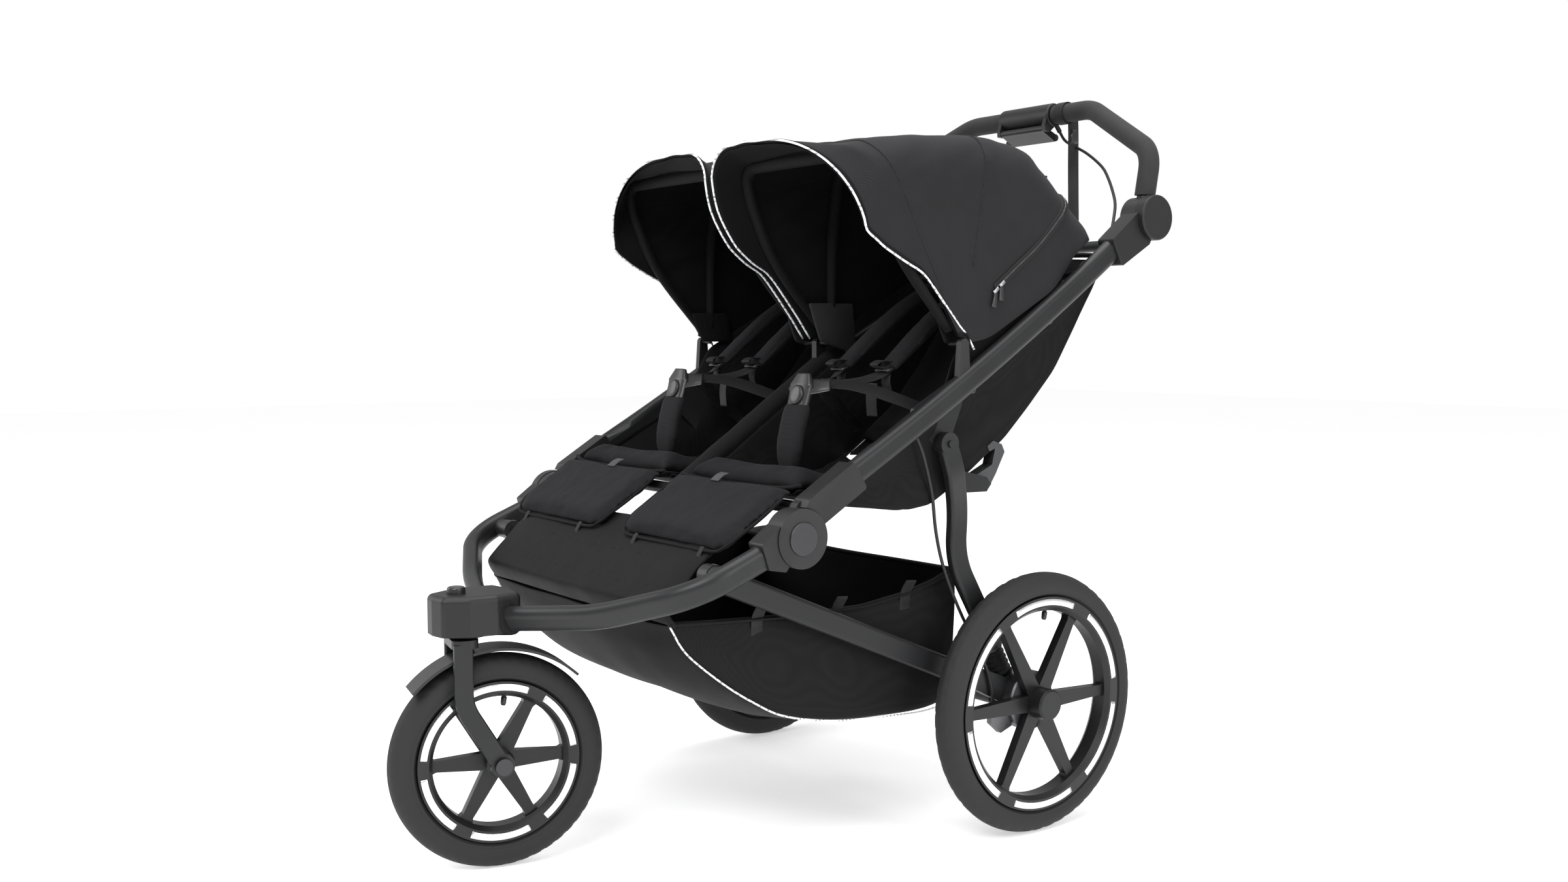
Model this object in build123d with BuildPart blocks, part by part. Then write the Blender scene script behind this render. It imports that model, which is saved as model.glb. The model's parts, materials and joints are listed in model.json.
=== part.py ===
from build123d import *
import os
from math import cos, radians, sin

# Double jogging stroller. X runs across it (+X is its left side), -Y is its front, Z is up.
# Millimetres. Lengths along Y are measured from the rear axle, which is AXLE_Y behind the origin.

# ---- driving dimensions ----
AXLE_Y = 261.6                       # puts the middle of the stroller's length on the origin
TRACK_X = 354.0                      # middle of each rear tyre
HUB_CAP_X = 387.0                    # outer end of each rear hub
REAR_R, REAR_W, REAR_RIM_R = 200.0, 45.0, 162.0
FRONT_R, FRONT_W, FRONT_RIM_R = 155.0, 50.0, 114.0
SPOKES = 6
STEER_Y = -775.0                     # steering axis of the front fork
TRAIL = 40.0                         # front axle behind the steering axis
SWIVEL = -13.0                       # fork's angle at rest, degrees about Z

TUBE_X, TUBE_W, TUBE_H = 343.0, 26.0, 36.0   # side tubes: middle, width across X, height
FOLD_Y, FOLD_Z = -452.0, 488.0       # fold hinge
RAIL_Y, RAIL_Z = -560.0, 440.0       # front pivot of the lower rails
LEG_Y, LEG_Z = -175.0, 603.0         # top pivot of the rear legs
SPRING_Y, SPRING_Z = -112.0, 250.0   # pivot of the sprung rear axle
PIVOT_Y, PIVOT_Z = 247.0, 947.0      # handlebar pivot
BAR_Y, BAR_Z = 333.0, 1150.0         # crossbar of the handlebar
CANOPY_Y, CANOPY_Z = -150.0, 748.0   # pivot of the canopy bows
RECLINE_Y, RECLINE_Z = -95.0, 566.0  # seat back hinge
BEAM_Y, BEAM_Z = -45.0, 208.0        # rear cross tube
LATCH_Y, LATCH_Z = -85.0, 538.0      # fold latch pivot

SEAT_IN, SEAT_OUT = 18.0, 316.0      # seat fabric, from the middle rail to the side tube
SEAT_X = 172.0                       # middle of a seat
CANOPY_IN, CANOPY_OUT = 8.0, 346.0
RAIL_IN, RAIL_OUT = 288.0, 309.0     # lower rails
LEG_X = 320.0                        # lower part of the rear legs
GAP = 0.3                            # running clearance

os.makedirs("parts", exist_ok=True)


def side(x):
    """Plane across the stroller at x; its sketch axes are the distance behind the axle, and Z."""
    return Plane(origin=(x, AXLE_Y, 0), x_dir=(0, 1, 0), z_dir=(1, 0, 0))


def top(z):
    """Level plane at height z; its sketch axes are X and the distance behind the axle."""
    return Plane(origin=(0, AXLE_Y, z), x_dir=(1, 0, 0), z_dir=(0, 0, 1))


def at(x, y, z):
    """Point given by its distance behind the rear axle."""
    return (x, AXLE_Y + y, z)


def along(route, across=(1, 0, 0)):
    """Plane at the start of a route, square to it."""
    return Plane(origin=route.line @ 0, x_dir=across, z_dir=route.line % 0)


def save(piece, name):
    piece.part.label = name
    export_step(piece.part, f"parts/{name}.step")


def save_pair(piece, name):
    """Writes the left piece and its mirror image on the right."""
    save(piece, f"{name}_left")
    with BuildPart() as twin:
        mirror(piece.part, about=Plane.YZ)
    save(twin, f"{name}_right")


def save_both(piece, name):
    """Writes the left piece and its mirror image as one node."""
    with BuildPart() as pair:
        add(piece.part)
        mirror(piece.part, about=Plane.YZ)
    save(pair, name)


def corner_radii(points, share=0.45):
    """Largest radius that each corner of a route has room for."""
    corners = [Vector(*p) for p in points]
    radii = []
    for before, here, after in zip(corners, corners[1:], corners[2:]):
        turn = (here - before).get_angle(after - here)
        shorter = min((here - before).length, (after - here).length)
        radii.append(share * shorter / (sin(radians(turn / 2)) / cos(radians(turn / 2))))
    return radii


# ---- wheels ----
def hub_plane(x, y, z, turn=0.0):
    """Plane in the wheel's middle, its normal along the axle."""
    outward = (cos(radians(turn)), sin(radians(turn)), 0)
    forward = (-sin(radians(turn)), cos(radians(turn)), 0)
    return Plane(origin=at(x, y, z), x_dir=forward, z_dir=outward)


def radial_plane(hub):
    """Plane through the axle; its sketch axes are the distance along the axle, and the radius."""
    return Plane(origin=hub.origin, x_dir=hub.z_dir, z_dir=hub.z_dir.cross(Vector(0, 0, 1)))


def make_tyre(hub, radius, width, rim_radius):
    seat, bead = rim_radius - 4, rim_radius + 2
    with BuildPart() as tyre:
        with BuildSketch(radial_plane(hub)):
            with BuildLine():
                Polyline((-15, bead), (-15, seat), (15, seat), (15, bead))
                ThreePointArc((15, bead), (width * 0.46, bead + 5), (width / 2, bead + 15))
                ThreePointArc((width / 2, bead + 15), (width * 0.34, radius - 6), (0, radius))
                ThreePointArc((0, radius), (-width * 0.34, radius - 6), (-width / 2, bead + 15))
                ThreePointArc((-width / 2, bead + 15), (-width * 0.46, bead + 5), (-15, bead))
            make_face()
        revolve(axis=Axis(hub.origin, hub.z_dir))
    return tyre


def make_rim(hub, rim_radius, hub_in, hub_out, hub_r, bore_r):
    seat = rim_radius - 4
    with BuildSketch() as spoke:
        with BuildLine():
            Polyline((hub_r - 6, -13), (seat - 22, -8), (seat - 13, -12), (seat - 13, 12),
                     (seat - 22, 8), (hub_r - 6, 13), close=True)
        make_face()
    with BuildPart() as rim:
        with BuildSketch(radial_plane(hub)):
            with BuildLine():
                Polyline((-18.5, rim_radius + 2), (-18.5, seat - 10), (-11, seat - 16), (11, seat - 16),
                         (18.5, seat - 10), (18.5, rim_radius + 2), (15, rim_radius + 2), (15, seat),
                         (-15, seat), (-15, rim_radius + 2), close=True)
            make_face()
        revolve(axis=Axis(hub.origin, hub.z_dir))
        with BuildSketch(hub.offset(-7)):
            with PolarLocations(0, SPOKES):
                add(spoke.sketch)
        extrude(amount=14)
        with BuildSketch(hub.offset(hub_in)):
            Circle(hub_r)
        extrude(amount=hub_out - hub_in)
        chamfer(rim.faces().sort_by(Axis(hub.origin, hub.z_dir))[-1].edges(), 3)
        with BuildSketch(hub.offset(hub_in)):
            Circle(bore_r)
        extrude(amount=hub_out - hub_in - 6, mode=Mode.SUBTRACT)
    return rim


rear_hub = hub_plane(TRACK_X, 0, REAR_R)
save_pair(make_tyre(rear_hub, REAR_R, REAR_W, REAR_RIM_R), "rear_tyre")
rear_rim = make_rim(rear_hub, REAR_RIM_R, -6, HUB_CAP_X - TRACK_X, 24, 7 + GAP)
save_pair(rear_rim, "rear_rim")

turn = radians(SWIVEL)
front_hub = hub_plane(-TRAIL * sin(turn), STEER_Y + TRAIL * cos(turn), FRONT_R, SWIVEL)
save(make_tyre(front_hub, FRONT_R, FRONT_W, FRONT_RIM_R), "front_tyre")
with BuildPart() as front_rim:
    add(make_rim(front_hub, FRONT_RIM_R, -27.5, 27.5, 20, 5 + GAP).part)
    with BuildSketch(front_hub.offset(-28)):
        Circle(5 + GAP)
    extrude(amount=56, mode=Mode.SUBTRACT)
save(front_rim, "front_rim")


# ---- front fork, fender and axle ----
def fork_side(x):
    """Plane of the turned fork, x from its middle; its sketch axes are behind the steering axis, and Z."""
    origin = at(x * cos(turn), STEER_Y + x * sin(turn), 0)
    return Plane(origin=origin, x_dir=(-sin(turn), cos(turn), 0), z_dir=(cos(turn), sin(turn), 0))


def fork_top(z):
    return Plane(origin=at(0, STEER_Y, z), x_dir=(cos(turn), sin(turn), 0), z_dir=(0, 0, 1))


FORK_IN, FORK_THICK, FORK_WIDE = 29.5, 10.0, 27.0
CROWN_Z = 325.0
with BuildPart() as fork:
    for sign in (1, -1):
        with BuildLine(fork_side(sign * (FORK_IN + FORK_THICK / 2))) as blade:
            FilletPolyline((-13, CROWN_Z + 6), (-13, 243), (TRAIL, FRONT_R), radius=70)
        with BuildSketch(along(blade, (cos(turn), sin(turn), 0))):
            RectangleRounded(FORK_THICK, FORK_WIDE, 3.5)
        sweep(path=blade.line)
        with BuildSketch(fork_side(sign * FORK_IN + (0 if sign > 0 else -FORK_THICK))):
            with Locations((TRAIL, FRONT_R)):
                Circle(17)
        extrude(amount=FORK_THICK)
    with BuildSketch(fork_top(CROWN_Z)):
        with Locations((0, -9)):
            RectangleRounded(2 * (FORK_IN + FORK_THICK), 38, 14)
    extrude(amount=12)
    with BuildSketch(fork_top(CROWN_Z + 12)):
        Circle(14.7)
    extrude(amount=50)
    with BuildSketch(fork_side(-60)):
        with Locations((TRAIL, FRONT_R)):
            Circle(5)
    extrude(amount=120, mode=Mode.SUBTRACT)
save(fork, "fork")

FENDER_IN, FENDER_OUT, FENDER_HALF = 161.5, 165.5, 27.0
with BuildPart() as fender:
    with BuildSketch(fork_side(-FENDER_HALF)):
        with Locations((TRAIL, FRONT_R)):
            Circle(FENDER_OUT)
            Circle(FENDER_IN, mode=Mode.SUBTRACT)
        with BuildLine():
            Polyline((TRAIL, FRONT_R), (TRAIL + 208, FRONT_R + 216), (TRAIL, FRONT_R + 330),
                     (TRAIL - 223, FRONT_R + 201), close=True)
        make_face(mode=Mode.INTERSECT)
    extrude(amount=2 * FENDER_HALF)
    with BuildSketch(fork_top(CROWN_Z)):
        with Locations((0, -2)):
            RectangleRounded(26, 18, 5)
    extrude(amount=-10)
save(fender, "fender")

AXLE_HALF = FORK_IN + FORK_THICK
with BuildPart() as front_axle:
    with BuildSketch(fork_side(-AXLE_HALF)):
        with Locations((TRAIL, FRONT_R)):
            Circle(5)
    extrude(amount=2 * AXLE_HALF)
    for start in (AXLE_HALF, -AXLE_HALF - 8):
        with BuildSketch(fork_side(start)):
            with Locations((TRAIL, FRONT_R)):
                Circle(12)
        extrude(amount=8)
save(front_axle, "front_axle")

# ---- front tubes and head ----
TUBE_NOSE = at(19, -739, 360)
with BuildPart() as front_tube:
    with BuildLine() as route:
        FilletPolyline(at(TUBE_X, -497, 470), at(TUBE_X, -607, 426), at(199, -675, 382), TUBE_NOSE,
                       radius=[96, 400])
    with BuildSketch(along(route)):
        RectangleRounded(TUBE_W, TUBE_H, 12)
    sweep(path=route.line)
save_pair(front_tube, "front_tube")

HEAD_LOW, HEAD_HIGH = 343.0, 399.0
tube_run = Vector(*at(199, -675, 382)) - Vector(*TUBE_NOSE)
with BuildPart() as front_head:
    with BuildSketch(top(HEAD_LOW)) as outline:
        with BuildLine():
            Polyline((0, -828), (27, -824), (44, -790), (50, -752), (44, -712), (0, -704))
            mirror(about=Plane.YZ)
        make_face()
        fillet(outline.vertices(), 10)
    extrude(amount=HEAD_HIGH - HEAD_LOW)
    fillet(front_head.faces().sort_by(Axis.Z)[-1].edges(), 9)
    with BuildSketch(Plane(origin=TUBE_NOSE, x_dir=(-tube_run.Y, tube_run.X, 0), z_dir=tube_run)):
        RectangleRounded(36, 46, 15)
    extrude(amount=30)
    with BuildSketch(Plane(origin=(-TUBE_NOSE[0], TUBE_NOSE[1], TUBE_NOSE[2]),
                           x_dir=(tube_run.Y, tube_run.X, 0),
                           z_dir=(-tube_run.X, tube_run.Y, tube_run.Z))):
        RectangleRounded(36, 46, 15)
    extrude(amount=30)
    with BuildSketch(Plane(origin=at(0, STEER_Y, CROWN_Z + 13))):
        Circle(28)
    extrude(amount=12)
    add(front_tube.part, mode=Mode.SUBTRACT)
    mirror(front_tube.part, about=Plane.YZ, mode=Mode.SUBTRACT)
    with BuildSketch(Plane(origin=at(0, STEER_Y, CROWN_Z))):
        Circle(14.7 + GAP)
    extrude(amount=63, mode=Mode.SUBTRACT)
    with BuildSketch(Plane(origin=at(0, STEER_Y - 16, HEAD_HIGH - 9))):
        Circle(13 + GAP)
    extrude(amount=12, mode=Mode.SUBTRACT)
save(front_head, "front_head")

with BuildPart() as swivel_lock:
    with BuildSketch(Plane(origin=at(0, STEER_Y - 16, HEAD_HIGH - 9))):
        Circle(13)
    extrude(amount=19)
    fillet(swivel_lock.faces().sort_by(Axis.Z)[-1].edges(), 4)
save(swivel_lock, "swivel_lock")

# ---- fold hinges: an outer disc on the front frame, an inner disc on the upper frame ----
DISC_R, HOUSE_IN, HOUSE_OUT = 40.0, 327.0, 359.0
DISC_MID = (HOUSE_IN + HOUSE_OUT) / 2
with BuildPart() as front_hinge:
    with BuildSketch(side(HOUSE_IN)):
        with BuildLine():
            Polyline((-478, 515), (-519, 485), (-507, 450), (-479, 445), (-466, 464), close=True)
        make_face()
    extrude(amount=HOUSE_OUT - HOUSE_IN)
    fillet(front_hinge.edges().filter_by(Axis.X), 4)
    with BuildSketch(side(HOUSE_IN - 1)):
        with Locations((FOLD_Y, FOLD_Z)):
            Circle(DISC_R + 1)
    extrude(amount=HOUSE_OUT - HOUSE_IN + 2, mode=Mode.SUBTRACT)
    with BuildSketch(side(DISC_MID + 0.5)):
        with Locations((FOLD_Y, FOLD_Z)):
            Circle(DISC_R + 1)
    extrude(amount=HOUSE_OUT - DISC_MID + 1.5)
    with BuildSketch(side(HOUSE_IN)):
        with Locations((FOLD_Y, FOLD_Z)):
            Circle(6)
    extrude(amount=HOUSE_OUT - HOUSE_IN + 4, mode=Mode.SUBTRACT)
    add(front_tube.part, mode=Mode.SUBTRACT)
save_pair(front_hinge, "front_hinge")

with BuildPart() as hinge_cap:
    with BuildSketch(side(HOUSE_IN)):
        with Locations((FOLD_Y, FOLD_Z)):
            Circle(6)
    extrude(amount=HOUSE_OUT - HOUSE_IN + 2)
    with BuildSketch(side(HOUSE_OUT + 2)):
        with Locations((FOLD_Y, FOLD_Z)):
            Circle(23)
    extrude(amount=2.5)
    fillet(hinge_cap.faces().sort_by(Axis.X)[-1].edges(), 1.5)
save_both(hinge_cap, "hinge_caps")

with BuildPart() as upper_tube:
    with BuildLine(side(TUBE_X)) as route:
        ThreePointArc((-398, 545), (-85, 727), (210, 925))
    with BuildSketch(along(route)):
        RectangleRounded(TUBE_W, TUBE_H, 12)
    sweep(path=route.line)
    with BuildSketch(side(HOUSE_IN - 8)):
        with Locations((LEG_Y, LEG_Z)):
            Circle(14)
        with BuildLine():
            Polyline((LEG_Y - 13, LEG_Z - 6), (-232, 637), (-226, 655), (-132, 705), (-136, 660),
                     (LEG_Y + 14, LEG_Z), close=True)
        make_face()
    extrude(amount=330 - HOUSE_IN + 8)
    with BuildSketch(side(HOUSE_IN - 8)):
        with Locations((LEG_Y, LEG_Z)):
            Circle(5)
    extrude(amount=351 - HOUSE_IN + 8)
save_pair(upper_tube, "upper_tube")

with BuildPart() as upper_hinge:
    with BuildSketch(side(HOUSE_IN)):
        with BuildLine():
            Polyline((-455, 515), (-440, 540), (-362, 588), (-340, 550), (-415, 505), close=True)
        make_face()
    extrude(amount=HOUSE_OUT - HOUSE_IN)
    fillet(upper_hinge.edges().filter_by(Axis.X), 5)
    with BuildSketch(side(HOUSE_IN - 1)):
        with Locations((FOLD_Y, FOLD_Z)):
            Circle(DISC_R + 2)
    extrude(amount=HOUSE_OUT - HOUSE_IN + 2, mode=Mode.SUBTRACT)
    with BuildSketch(side(HOUSE_IN)):
        with Locations((FOLD_Y, FOLD_Z)):
            Circle(DISC_R)
        with BuildLine():
            Polyline((-452, 527), (-447, 534), (-410, 557), (-395, 520), (-413, 488), close=True)
        make_face()
    extrude(amount=DISC_MID - 0.5 - HOUSE_IN)
    with BuildSketch(side(HOUSE_IN - 1)):
        with Locations((FOLD_Y, FOLD_Z)):
            Circle(6 + GAP)
    extrude(amount=HOUSE_OUT - HOUSE_IN, mode=Mode.SUBTRACT)
    add(upper_tube.part, mode=Mode.SUBTRACT)
save_pair(upper_hinge, "upper_hinge")

# ---- handlebar pivots ----
PIVOT_R = 36.0
with BuildPart() as handle_pivot:
    with BuildSketch(side(HOUSE_IN)):
        with BuildLine():
            Polyline((153, 909), (175, 868), (240, 905), (262, 950), (235, 972), close=True)
        make_face()
    extrude(amount=HOUSE_OUT - HOUSE_IN)
    fillet(handle_pivot.edges().filter_by(Axis.X), 5)
    with BuildSketch(side(HOUSE_IN - 1)):
        with Locations((PIVOT_Y, PIVOT_Z)):
            Circle(PIVOT_R + 1)
    extrude(amount=350 - HOUSE_IN + 1, mode=Mode.SUBTRACT)
    with BuildSketch(side(350)):
        with Locations((PIVOT_Y, PIVOT_Z)):
            Circle(PIVOT_R)
    extrude(amount=19)
    fillet(handle_pivot.faces().sort_by(Axis.X)[-1].edges(), 3)
    with BuildSketch(side(328)):
        with Locations((PIVOT_Y, PIVOT_Z)):
            Circle(8)
    extrude(amount=22)
    add(upper_tube.part, mode=Mode.SUBTRACT)
save_pair(handle_pivot, "handle_pivot")

# ---- handlebar ----
EYE_IN, EYE_OUT = 320.0, 349.0
ARM_X, TUBE_R, GRIP_R = 335.0, 12.5, 16.5
CLAMP_IN, CLAMP_OUT = 96.0, 124.0     # the true round length on which an accessory clamps
bar_route = [at(ARM_X, PIVOT_Y + 4, PIVOT_Z + 20), at(ARM_X, 268, 1055), at(148, BAR_Y, BAR_Z),
             at(-148, BAR_Y, BAR_Z), at(-ARM_X, 268, 1055), at(-ARM_X, PIVOT_Y + 4, PIVOT_Z + 20)]
with BuildPart() as bar_core:
    with BuildLine() as route:
        FilletPolyline(*bar_route, radius=[52, 70, 70, 52])
    with BuildSketch(along(route)):
        Circle(TUBE_R)
    sweep(path=route.line)

with BuildPart() as handlebar:
    add(bar_core.part)
    for low in (EYE_IN, -EYE_OUT):
        with BuildSketch(side(low)):
            with Locations((PIVOT_Y, PIVOT_Z)):
                Circle(PIVOT_R - 2)
        extrude(amount=EYE_OUT - EYE_IN)
    with BuildSketch(side(-EYE_OUT - 1)):
        with Locations((PIVOT_Y, PIVOT_Z)):
            Circle(8 + GAP)
    extrude(amount=2 * EYE_OUT + 2, mode=Mode.SUBTRACT)
    for low in (EYE_IN - 1, -EYE_IN - 7):
        with BuildSketch(side(low)):
            with Locations((PIVOT_Y, PIVOT_Z)):
                Circle(14 + GAP)
        extrude(amount=8, mode=Mode.SUBTRACT)
save(handlebar, "handlebar")

with BuildPart() as handlebar_grips:
    with BuildLine() as route:
        FilletPolyline(*bar_route, radius=[52, 70, 70, 52])
    with BuildSketch(along(route)):
        Circle(GRIP_R)
        Circle(TUBE_R, mode=Mode.SUBTRACT)
    sweep(path=route.line)
    with BuildSketch(Plane(origin=(-64, 0, 0), x_dir=(0, 1, 0), z_dir=(1, 0, 0))):
        with Locations((AXLE_Y + BAR_Y, BAR_Z)):
            Rectangle(80, 80)
    extrude(amount=128, mode=Mode.SUBTRACT)
    with BuildSketch(Plane.XY.offset(PIVOT_Z - 40)):
        with Locations((0, AXLE_Y + PIVOT_Y)):
            Rectangle(900, 200)
    extrude(amount=40 + 38, mode=Mode.SUBTRACT)
    for low in (CLAMP_IN, -CLAMP_OUT):
        with BuildSketch(side(low)):
            with Locations((BAR_Y, BAR_Z)):
                Circle(GRIP_R + 2)
        extrude(amount=CLAMP_OUT - CLAMP_IN, mode=Mode.SUBTRACT)
        with BuildSketch(side(low)):
            with Locations((BAR_Y, BAR_Z)):
                Circle(GRIP_R)
                Circle(TUBE_R, mode=Mode.SUBTRACT)
        extrude(amount=CLAMP_OUT - CLAMP_IN)
save(handlebar_grips, "handlebar_grips")

with BuildPart() as handle_button:
    with BuildSketch(side(EYE_IN - 4)):
        with Locations((PIVOT_Y, PIVOT_Z)):
            Circle(14)
    extrude(amount=7)
    fillet(handle_button.faces().sort_by(Axis.X)[0].edges(), 2)
save_pair(handle_button, "handle_button")

# ---- hand brake on the crossbar ----
LEVER_Y, LEVER_Z = 316.0, 1126.0
with BuildPart() as brake_housing:
    with BuildSketch(side(-62)):
        with Locations((BAR_Y, BAR_Z)):
            Circle(21)
            Circle(TUBE_R, mode=Mode.SUBTRACT)
    extrude(amount=124)
    fillet(brake_housing.edges().filter_by(GeomType.CIRCLE).group_by(Edge.length.fget)[-1], 4)
    for low in (-60, 52):
        with BuildSketch(side(low)):
            with BuildLine():
                Polyline((LEVER_Y - 6, LEVER_Z - 5), (LEVER_Y + 6, LEVER_Z - 6), (BAR_Y + 2, BAR_Z - 19),
                         (BAR_Y - 19, BAR_Z - 2), (LEVER_Y - 7, LEVER_Z + 6), close=True)
            make_face()
            with Locations((LEVER_Y, LEVER_Z)):
                Circle(2.5, mode=Mode.SUBTRACT)
        extrude(amount=8)
    cable_way = Vector(2, 10, -15)
    with BuildSketch(Plane(origin=at(61, 346, 1121), z_dir=cable_way)):
        Circle(4)
    extrude(amount=-15)
    with BuildSketch(side(55)):
        with Locations((BAR_Y, BAR_Z)):
            Circle(TUBE_R)
    extrude(amount=12, mode=Mode.SUBTRACT)
save(brake_housing, "brake_housing")

with BuildPart() as brake_lever:
    with BuildSketch(side(-60)):
        with Locations((LEVER_Y, LEVER_Z)):
            Circle(2.5)
    extrude(amount=120)
    with BuildSketch(side(-51.5)):
        with Locations((LEVER_Y, LEVER_Z)):
            Circle(6)
        with BuildLine():
            Polyline((LEVER_Y - 3, LEVER_Z - 5), (344, 1105), (352, 1109), (350, 1116),
                     (LEVER_Y + 3, LEVER_Z + 4), close=True)
        make_face()
    extrude(amount=103)
    with BuildSketch(side(-68)):
        with Locations((346, 1112)):
            Circle(6)
    extrude(amount=120)
save(brake_lever, "brake_lever")

# ---- wrist strap, looped round the bar and hanging from it ----
STRAP_X, STRAP_WIDE, STRAP_RING = 84.0, 22.0, 16.8
with BuildPart() as wrist_strap:
    with BuildSketch(side(STRAP_X - 9)):
        with Locations((BAR_Y, BAR_Z)):
            Circle(19.5)
            Circle(STRAP_RING, mode=Mode.SUBTRACT)
    extrude(amount=18)
    with BuildSketch(side(STRAP_X - STRAP_WIDE / 2)):
        with BuildLine():
            Polyline((351, 1156), (350.5, 1140), (350.5, 950), (353.5, 940), (356.5, 950), (356.5, 1140),
                     (353, 1158), close=True)
        make_face()
        with Locations((BAR_Y, BAR_Z)):
            Circle(STRAP_RING, mode=Mode.SUBTRACT)
    extrude(amount=STRAP_WIDE)
save(wrist_strap, "wrist_strap")

# ---- held brake cables: one from the hand brake into the side tube, one down each rear leg ----
CABLE_R = 2.5
hand_cable = [at(61, 346, 1121), at(63, 356, 1106), at(78, 363, 1096), at(108, 359, 1083),
              at(145, 343, 1066), at(190, 319, 1044), at(240, 281, 1010), at(282, 246, 974),
              at(302, 217, 940), at(309, 204, 920), at(HOUSE_IN, 204, 920)]
leg_cable = [at(TUBE_X, -235.9, 614.7), at(342, -225, 596), at(336, -209, 565), at(326, -189, 524),
             at(320, -179, 478), at(320, -167, 430), at(320, -146, 382), at(320, -121, 336),
             at(324, -99, 297), at(331, -84, 263), at(332, -73, 230), at(332, -70, 206),
             at(332, -70, 186.1)]
with BuildPart() as brake_cables:
    for points in (hand_cable, leg_cable):
        radii = corner_radii(points)
        print("cable radii", [round(r) for r in radii])
        with BuildLine() as route:
            FilletPolyline(*points, radius=radii)
        with BuildSketch(along(route, (0, 1, 0))):
            Circle(CABLE_R)
        sweep(path=route.line)
        print("cable length", round(sum(edge.length for edge in route.edges())))
    mirror(brake_cables.solids().sort_by(Axis.Z)[0], about=Plane.YZ)
save(brake_cables, "brake_cables")

# ---- middle rail with the seats' front crossbar, and the crossbar behind the backs ----
with BuildPart() as centre_rail:
    with BuildSketch(side(-HOUSE_IN)):
        with Locations((-424, 524)):
            Circle(9)
    extrude(amount=2 * HOUSE_IN)
    with BuildLine(side(0)) as route:
        FilletPolyline((-424, 524), (-140, 718), (216, 902), radius=600)
    with BuildSketch(along(route)):
        Circle(8)
    sweep(path=route.line)
    with BuildSketch(side(-HOUSE_IN)):
        with Locations((222, 905)):
            Circle(9)
    extrude(amount=2 * HOUSE_IN, mode=Mode.SUBTRACT)
save(centre_rail, "centre_rail")

with BuildPart() as back_crossbar:
    with BuildSketch(side(-330)):
        with Locations((222, 905)):
            Circle(9)
    extrude(amount=660)
    add(handle_pivot.part, mode=Mode.SUBTRACT)
    mirror(handle_pivot.part, about=Plane.YZ, mode=Mode.SUBTRACT)
    add(upper_tube.part, mode=Mode.SUBTRACT)
    mirror(upper_tube.part, about=Plane.YZ, mode=Mode.SUBTRACT)
    add(handlebar.part, mode=Mode.SUBTRACT)
save(back_crossbar, "back_crossbar")

# ---- canopy hubs, bows and covers ----
BOW_R = 4.5


def canopy_ray(radius, angle):
    """Point of the canopy's side view, from the bows' pivot."""
    return CANOPY_Y + radius * cos(radians(angle)), CANOPY_Z + radius * sin(radians(angle))


with BuildPart() as canopy_hubs:
    with BuildSketch(side(-6)):
        with Locations((CANOPY_Y, CANOPY_Z)):
            Circle(8)
        with BuildLine():
            Polyline((CANOPY_Y - 8, CANOPY_Z), (CANOPY_Y - 8, 705), (CANOPY_Y + 10, 715),
                     (CANOPY_Y + 8, CANOPY_Z), close=True)
        make_face()
    extrude(amount=12)
    add(centre_rail.part, mode=Mode.SUBTRACT)
    for low in (340, -350):
        with BuildSketch(side(low)):
            with Locations((CANOPY_Y, CANOPY_Z)):
                Circle(8)
            with BuildLine():
                Polyline((CANOPY_Y - 8, CANOPY_Z), (CANOPY_Y - 12, 690), (CANOPY_Y + 12, 690),
                         (CANOPY_Y + 8, CANOPY_Z), close=True)
            make_face()
        extrude(amount=10)
    add(upper_tube.part, mode=Mode.SUBTRACT)
    mirror(upper_tube.part, about=Plane.YZ, mode=Mode.SUBTRACT)
    for low in (-35, 318, -341):
        length = 70 if low == -35 else 23
        with BuildSketch(side(low)):
            with Locations((CANOPY_Y, CANOPY_Z)):
                Circle(3.5)
        extrude(amount=length)
save(canopy_hubs, "canopy_hubs")


def make_bow(inset, radius, angle, bend):
    """A U-shaped wire from the inner pivot, over the seat, to the outer pivot."""
    inner, outer = CANOPY_IN + inset, CANOPY_OUT - inset
    foot, head = canopy_ray(10, angle), canopy_ray(radius, angle)
    knee = canopy_ray(radius * 0.5, angle + bend)
    with BuildPart() as bow:
        with BuildLine() as route:
            FilletPolyline(at(inner, *foot), at(inner, *knee), at(inner, *head), at(outer, *head),
                           at(outer, *knee), at(outer, *foot), radius=[180, 55, 55, 180])
        with BuildSketch(along(route)):
            Circle(BOW_R)
        sweep(path=route.line)
        for low in (inner - 3, outer - 3):
            with BuildSketch(side(low)):
                with Locations((CANOPY_Y, CANOPY_Z)):
                    Circle(11)
            extrude(amount=6)
            with BuildSketch(side(low - 3)):
                with Locations((CANOPY_Y, CANOPY_Z)):
                    Circle(3.5 + GAP)
            extrude(amount=12, mode=Mode.SUBTRACT)
    return bow


save_pair(make_bow(13, 326, 122, 8), "canopy_bow")
save_pair(make_bow(23, 311, 86, 3), "canopy_mid_bow")

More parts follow.
